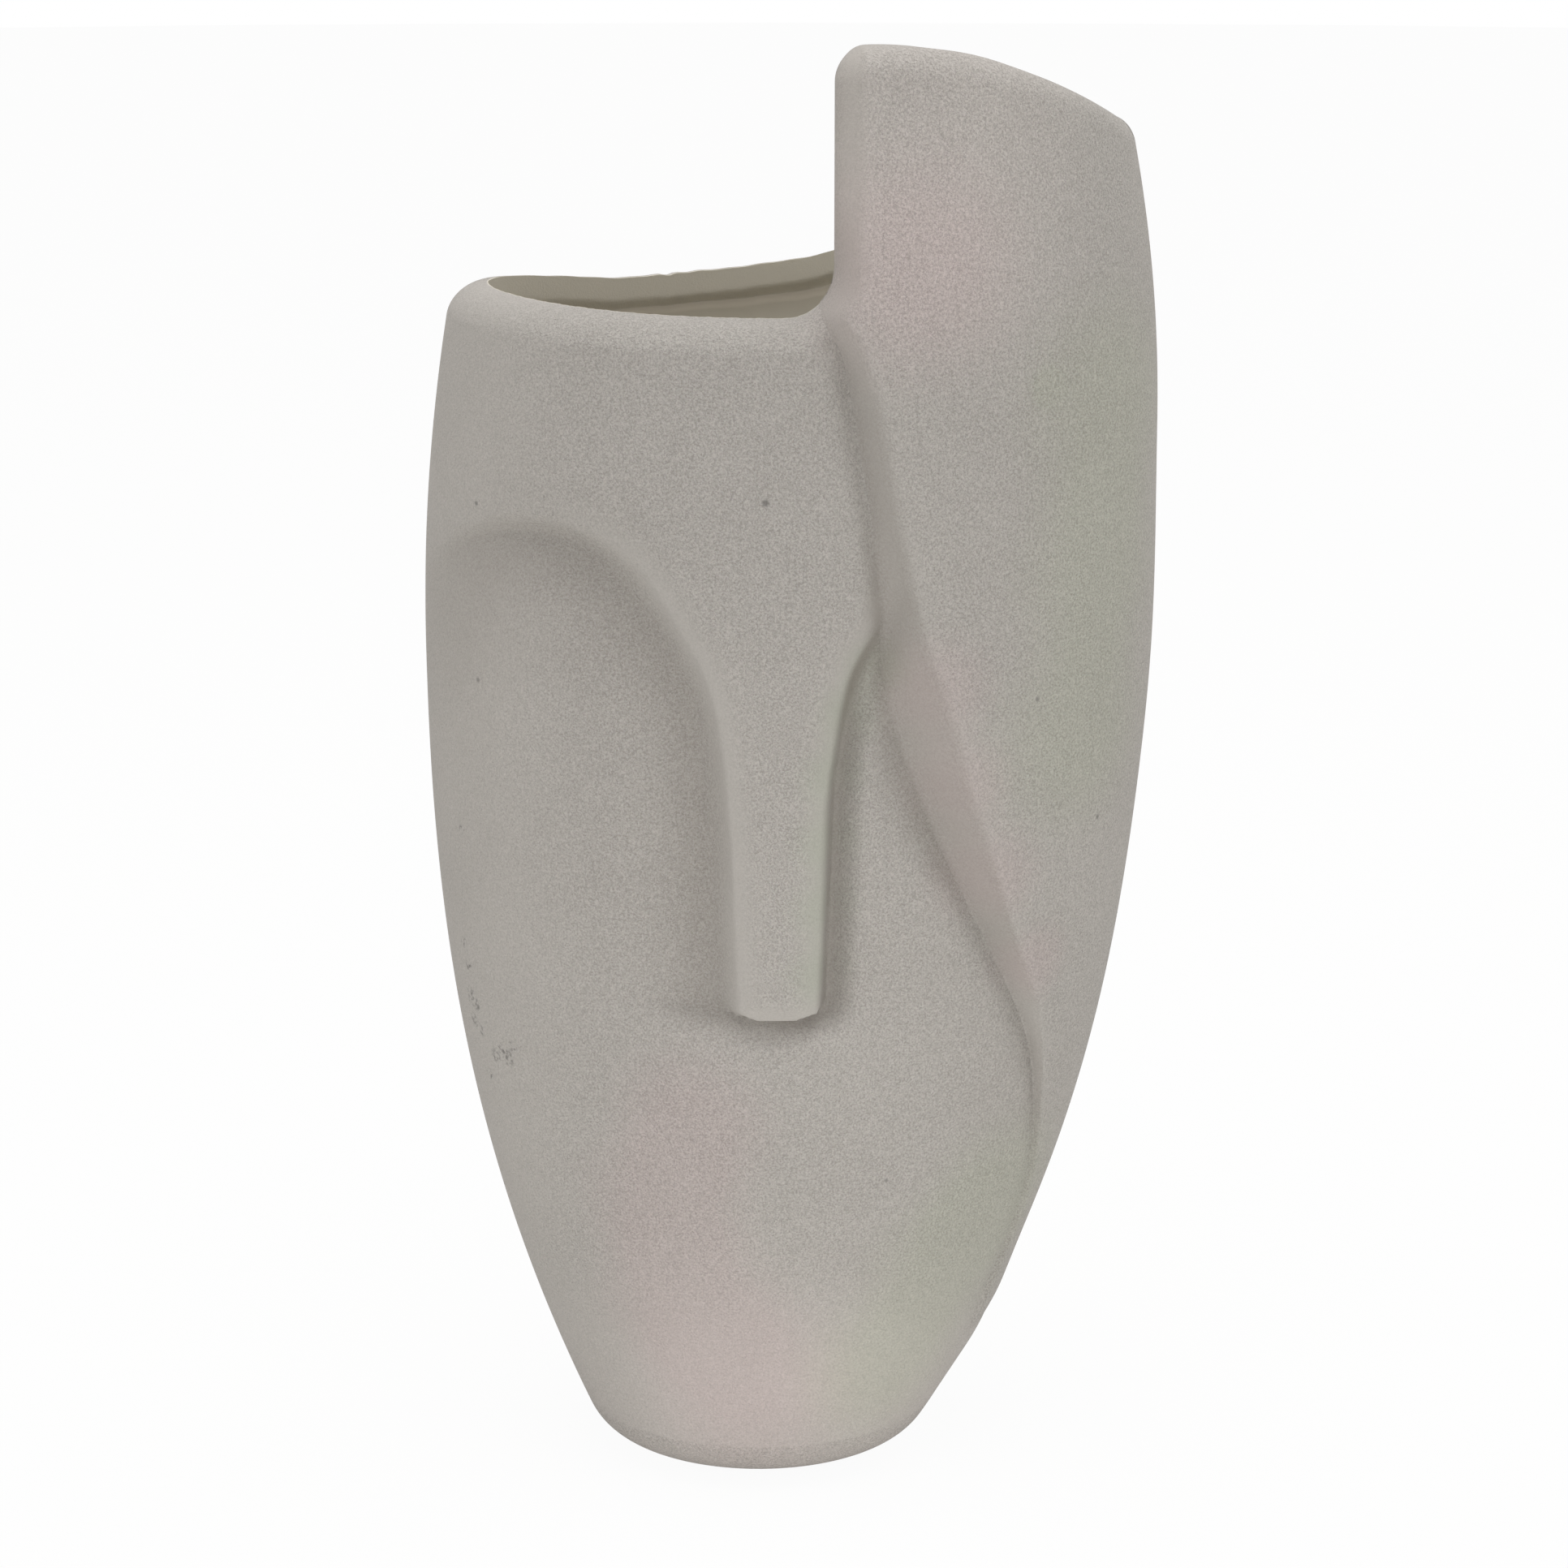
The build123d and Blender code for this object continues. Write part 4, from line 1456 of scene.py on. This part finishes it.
def paint(red: float, green: float, blue: float) -> Colour:
    """Linear colour of a screen colour given in 0 to 255, by the sRGB curve.

    Args:
        red: Red of the screen colour.
        green: Green of it.
        blue: Blue of it.

    Returns:
        Red, green, blue and full opacity.
    """
    shares = np.array([red, green, blue]) / 255.0
    linear = np.where(shares <= 0.04045, shares / 12.92, ((shares + 0.055) / 1.055) ** 2.4)
    return (float(linear[0]), float(linear[1]), float(linear[2]), 1.0)


@dataclass(frozen=True)
class StonewareFinish:
    """Matt sandy clay with soft casts, painted light, painted shade in the hollows, specks, scuffs and chips.

    A core is the share of a spot's size within which it is full. roughness is its middle and its swing,
    bump its depth in millimetres and its strength, here and in the other finishes.
    """

    pale: Colour = paint(193, 188, 182)
    deep: Colour = paint(158, 153, 147)
    dark: Colour = paint(128, 121, 112)
    # Colour of the painted shade in the valleys and along the groove.
    film: Colour = paint(216, 210, 196)
    white: Colour = paint(240, 238, 230)
    grey: Colour = paint(112, 110, 106)
    pink: Colour = (1.05, 0.99, 1.01, 1.0)
    green: Colour = (0.97, 1.01, 0.945, 1.0)
    olive: Colour = (0.93, 0.98, 0.92, 1.0)
    # Painted light: a lighter tint for the bottom and the panel's top, where more light falls.
    painted_light_tint: Colour = (1.16, 1.14, 1.15, 1.0)
    grain: Grain = Grain(0.42, 2.0, 0.6)
    grit: Grain = Grain(0.2, 1.0)
    cloud: Grain = Grain(28.0, 3.0, 0.55)
    streak: Grain = Grain(1.1, 2.0, 0.6)
    grain_weight: float = 2.4
    grit_weight: float = 1.6
    cloud_weight: float = 0.3
    streak_start: float = 0.47
    streak_contrast: float = 7.0
    wiped_smooth: float = 0.75
    glazed_smooth: float = 0.8
    # How far the painted shade darkens towards its colour.
    painted_shade_weight: float = 0.42
    speck_strength: float = 0.7
    scuff_strength: float = 0.8
    chip_strength: float = 0.6
    cast_core: float = 0.2
    speck_core: float = 0.3
    scuff_core: float = 0.4
    chip_core: float = 0.3
    roughness: Pair = (0.86, 0.2)
    specular: float = 0.3
    bump: Pair = (0.12, 1.0)
    pink_casts: tuple[Mark, ...] = spotted(
        (21.4, -41.3, 234.2, 26.0), (25.1, -39.5, 161.6, 14.0), (29.5, -37.5, 144.0, 13.0),
        (35.1, -34.6, 126.3, 14.0), (44.5, -29.0, 108.0, 11.0), (-17.0, -34.0, 80.0, 20.0),
        (-22.0, -30.0, 62.0, 22.0), (-18.0, -28.0, 42.0, 24.0), (-8.0, -28.0, 25.0, 26.0),
    )
    green_casts: tuple[Mark, ...] = spotted(
        (56.2, -23.0, 208.2, 28.0), (55.0, -25.0, 180.0, 26.0), (51.7, -26.7, 150.9, 26.0),
        (30.4, -22.7, 45.8, 24.0), (39.4, -19.8, 59.3, 22.0), (18.0, -25.0, 26.0, 22.0),
        (44.3, -32.8, 213.0, 5.0),
    )
    olive_casts: tuple[Mark, ...] = spotted(
        (6.0, -40.5, 110.0, 9.0), (6.5, -40.5, 122.0, 9.0), (7.0, -40.5, 134.0, 9.0),
        (8.0, -40.5, 146.0, 9.0), (11.0, -40.0, 157.0, 9.0), (15.0, -39.5, 165.0, 8.0),
    )
    # Painted light: the bottom and the panel's top made lighter, as if more light fell there.
    painted_light_casts: tuple[Mark, ...] = spotted((-2.0, -27.0, 4.0, 60.0), (24.0, -41.0, 246.0, 40.0))
    chips: tuple[Mark, ...] = spotted((-25.6, 37.5, 224.4, 4.0), (-21.0, 38.0, 224.6, 4.5))
    specks: tuple[Mark, ...] = spotted(
        (-3.8, -42.3, 194.8, 0.9), (43.4, -33.2, 158.4, 0.7), (55.7, -21.4, 133.4, 0.7),
        (17.9, -31.7, 67.2, 0.8), (-54.6, -21.6, 190.8, 0.6), (-55.1, -20.7, 158.7, 0.7),
        (17.5, -42.3, 197.9, 0.6), (-57.5, -13.7, 94.2, 0.7),
    )
    scuffs: tuple[Mark, ...] = spotted(
        (-60.0, -12.2, 106.5, 1.5), (-59.2, -12.7, 101.9, 1.7), (-58.8, -12.0, 95.5, 2.4),
        (-57.8, -12.6, 94.6, 2.0), (-58.5, -11.4, 91.0, 1.6), (-57.4, -12.8, 89.4, 1.8),
        (-54.2, -16.1, 85.5, 1.8), (-53.1, -17.6, 87.4, 1.6), (-51.8, -18.7, 86.0, 2.2),
        (-50.7, -20.1, 88.6, 1.5), (-55.8, -13.1, 80.8, 1.6), (-59.4, -15.5, 129.2, 1.2),
    )

    def make(self) -> bpy.types.Material:
        """Builds the material: sandy body, casts, painted light, painted shade, specks, scuffs, the glaze's
        film and chips.

        Returns:
            The material.
        """
        shader = Shader(bpy.data.materials.new("sandy_stoneware"))
        place = shader.place()
        wiped, painted_shade, glazed = (shader.trace(trace) for trace in (Trace.WIPED, Trace.PAINTED_SHADE, Trace.GLAZED))
        rough = (1.0 - wiped * self.wiped_smooth) * (1.0 - glazed * self.glazed_smooth)
        grain, grit, cloud = (shader.noise(place, noise) for noise in (self.grain, self.grit, self.cloud))
        sand = (grain - 0.5) * self.grain_weight + (grit - 0.5) * self.grit_weight
        shade = (sand * rough + (cloud - 0.5) * self.cloud_weight + 0.5).limited()
        body = shader.blend(shade, self.deep, self.pale)
        casts = (
            (self.pink_casts, self.pink),
            (self.green_casts, self.green),
            (self.olive_casts, self.olive),
            # Painted light on the bottom and the panel's top.
            (self.painted_light_casts, self.painted_light_tint),
        )
        for marks, tint in casts:
            body = shader.blend(shader.spots(place, marks, self.cast_core), body, tint, "MULTIPLY")
        # Painted shade: darker in the valleys, along the groove and on the panel's band, where shade falls.
        body = shader.blend(painted_shade * self.painted_shade_weight, body, self.dark)
        specks = shader.spots(place, self.specks, self.speck_core)
        body = shader.blend(specks * self.speck_strength, body, self.grey)
        streak = ((shader.noise(place, self.streak) - self.streak_start) * self.streak_contrast).limited()
        scuffs = shader.spots(place, self.scuffs, self.scuff_core) * streak
        body = shader.blend(scuffs * self.scuff_strength, body, self.grey)
        body = shader.blend(glazed, body, self.film)
        chips = shader.spots(place, self.chips, self.chip_core) * streak
        body = shader.blend(chips * self.chip_strength, body, self.white)
        return shader.finish(
            {
                "Base Color": body,
                "Roughness": grain.swing(*self.roughness),
                "Specular IOR Level": self.specular,
                "Normal": shader.bump(sand * rough, *self.bump),
            }
        )


@dataclass(frozen=True)
class GlazeFinish:
    """Thin satin glaze, greyer than the clay, with painted shade along its edge under the bead."""

    glaze: Colour = paint(206, 200, 185)
    thin: Colour = paint(216, 210, 197)
    # Colour of the painted shade along the glaze's edge, under the bead.
    edge: Colour = paint(150, 139, 121)
    cloud: Grain = Grain(14.0, 3.0)
    ripple: Grain = Grain(3.0)
    edge_shade_strength: float = 0.8
    roughness: Pair = (0.42, 0.2)
    specular: float = 0.4
    bump: Pair = (0.08, 0.5)

    def make(self) -> bpy.types.Material:
        """Builds the material.

        Returns:
            The material.
        """
        shader = Shader(bpy.data.materials.new("satin_glaze"))
        place = shader.place()
        ripple = shader.noise(place, self.ripple)
        colour = shader.blend(shader.noise(place, self.cloud), self.glaze, self.thin)
        # Painted shade along the glaze's edge, where the bead above shades it.
        colour = shader.blend(shader.trace(Trace.PAINTED_SHADE) * self.edge_shade_strength, colour, self.edge)
        return shader.finish(
            {
                "Base Color": colour,
                "Roughness": ripple.swing(*self.roughness),
                "Specular IOR Level": self.specular,
                "Normal": shader.bump(ripple, *self.bump),
            }
        )


@dataclass(frozen=True)
class FeltFinish:
    """Pressed grey felt with short matted fibres."""

    dark: Colour = paint(96, 93, 89)
    light: Colour = paint(132, 128, 122)
    matting: Grain = Grain(1.4, 4.0, 0.7)
    fibre: Grain = Grain(0.35, 2.0, 0.6)
    matting_weight: float = 0.6
    fibre_weight: float = 0.4
    bump_weight: float = 0.5
    roughness: Pair = (0.9, 0.15)
    sheen: float = 0.4
    bump: Pair = (0.2, 0.8)

    def make(self) -> bpy.types.Material:
        """Builds the material.

        Returns:
            The material.
        """
        shader = Shader(bpy.data.materials.new("pressed_felt"))
        place = shader.place()
        matting, fibre = shader.noise(place, self.matting), shader.noise(place, self.fibre)
        share = (matting * self.matting_weight + fibre * self.fibre_weight).limited()
        return shader.finish(
            {
                "Base Color": shader.blend(share, self.dark, self.light),
                "Roughness": fibre.swing(*self.roughness),
                "Sheen Weight": self.sheen,
                "Normal": shader.bump((matting + fibre) * self.bump_weight, *self.bump),
            }
        )


@dataclass(frozen=True)
class Lamp:
    """A soft square lamp: place and target in metres, size and power."""

    name: str
    place: Place
    target: Place
    size: float
    power: float

    def hang(self) -> None:
        """Adds the lamp to the scene."""
        light = bpy.data.lights.new(self.name, "AREA")
        light.shape = "SQUARE"
        light.size = self.size
        light.energy = self.power
        lamp = bpy.data.objects.new(self.name, light)
        lamp.location = self.place
        lamp.visible_camera = False
        aim = Vector(self.target) - Vector(self.place)
        lamp.rotation_euler = aim.to_track_quat("-Z", "Y").to_euler()
        bpy.context.scene.collection.objects.link(lamp)


@dataclass(frozen=True)
class Studio:
    """Pale floor, white surroundings, soft lamps and the camera, in metres."""

    aim: Place = (-0.00068, 0.003, 0.1325)
    distance: float = 0.6
    elevation: float = 16.0
    lens: float = 73.34
    sensor: float = 36.0
    nearest: float = 0.01
    floor_radius: float = 6.0
    floor_sides: int = 64
    floor_card: Colour = paint(236, 236, 234)
    floor_white: float = 0.95
    lamps: tuple[Lamp, ...] = (
        Lamp("overhead", (0.0, -0.15, 1.2), (0.0, 0.0, 0.1), 0.8, 7.0),
        Lamp("low_card", (0.0, -0.26, 0.02), (0.0, -0.02, 0.05), 0.14, 0.2),
    )
    ambient: float = 0.23
    from_left: float = 0.75
    from_right: float = 1.01

    def camera(self) -> None:
        """Places the camera on the photograph's line of sight."""
        lens = bpy.data.cameras.new("camera")
        lens.lens = self.lens
        lens.sensor_width = self.sensor
        lens.clip_start = self.nearest
        eye = bpy.data.objects.new("camera", lens)
        rise = np.radians(self.elevation)
        reach = Vector((0.0, -np.cos(rise), np.sin(rise))) * self.distance
        eye.location = Vector(self.aim) + reach
        eye.rotation_euler = Euler((np.pi / 2 - rise, 0.0, 0.0))
        bpy.context.scene.collection.objects.link(eye)
        bpy.context.scene.camera = eye

    def floor(self) -> None:
        """A pale disc that shows white to the camera and keeps the shadow."""
        around = np.linspace(0.0, 2 * np.pi, self.floor_sides + 1)[:-1]
        ring = self.floor_radius * np.stack([np.cos(around), np.sin(around), np.zeros_like(around)], axis=1)
        mesh = bpy.data.meshes.new("floor")
        mesh.from_pydata(ring.tolist(), [], [list(range(len(ring)))])
        shader = Shader(bpy.data.materials.new("pale_floor"))
        card = shader.add("ShaderNodeBsdfDiffuse", {}, {"Color": self.floor_card}, "BSDF")
        white = shader.add("ShaderNodeEmission", {}, {"Color": WHITE, "Strength": 1.0}, "Emission")
        shown = {0: shader.seen() * self.floor_white, 1: card, 2: white}
        shader.close(shader.add("ShaderNodeMixShader", {}, shown, "Shader"))
        mesh.materials.append(shader.owner)
        floor = bpy.data.objects.new("floor", mesh)
        bpy.context.scene.collection.objects.link(floor)

    def sky(self) -> None:
        """White to the camera; to everything else a soft light, stronger from the sides."""
        world = bpy.data.worlds.new("studio")
        bpy.context.scene.world = world
        shader = Shader(world)
        levels = (self.strength(shader), 1.0)
        light, white = (
            shader.add("ShaderNodeBackground", {}, {"Color": WHITE, "Strength": level}, "Background")
            for level in levels
        )
        shader.close(shader.add("ShaderNodeMixShader", {}, {0: shader.seen(), 1: light, 2: white}, "Shader"))

    def strength(self, shader: Shader) -> Wire:
        """Strength of the sky by direction: even, more from the left and most from the right.

        Args:
            shader: The world's tree.

        Returns:
            The strength.
        """
        way = shader.add("ShaderNodeTexCoord", {}, {}, "Generated")
        settings = {"operation": "DOT_PRODUCT"}
        right = shader.add("ShaderNodeVectorMath", settings, {0: way, 1: (1.0, 0.0, 0.0)}, "Value")
        sides = right.limited() * self.from_right + (right * -1.0).limited() * self.from_left
        return sides + self.ambient

    def set_up(self) -> None:
        """Builds the studio."""
        bpy.context.scene.view_settings.view_transform = "Standard"
        self.camera()
        self.floor()
        self.sky()
        for lamp in self.lamps:
            lamp.hang()


def corners(box: tuple[Vector, Vector]) -> list[list[float]]:
    """A box as plain lists."""
    return [[float(value) for value in corner] for corner in box]


def main() -> None:
    """Clears the start-up scene, loads the frame, builds the pieces and sets up the studio."""
    logging.basicConfig(level=logging.INFO, format="%(message)s")
    for start_up in list(bpy.data.objects):
        bpy.data.objects.remove(start_up)
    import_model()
    low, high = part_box("foot_pad")
    middle = (low + high) / (2 * METRE)
    vase = Vase(axis=(middle.x, middle.y))
    finishes = {
        Slot.STONEWARE: StonewareFinish().make(),
        Slot.GLAZE: GlazeFinish().make(),
        Slot.FELT: FeltFinish().make(),
    }
    for maker in (FaceShell, SweepPanel, BackShell, FloorSlab, GlazeSkin, FeltDisc):
        part = maker(vase)
        shape = part.build()
        shape.data.materials.append(finishes[part.piece.slot])
    Studio().set_up()


if __name__ == "__main__":
    main()
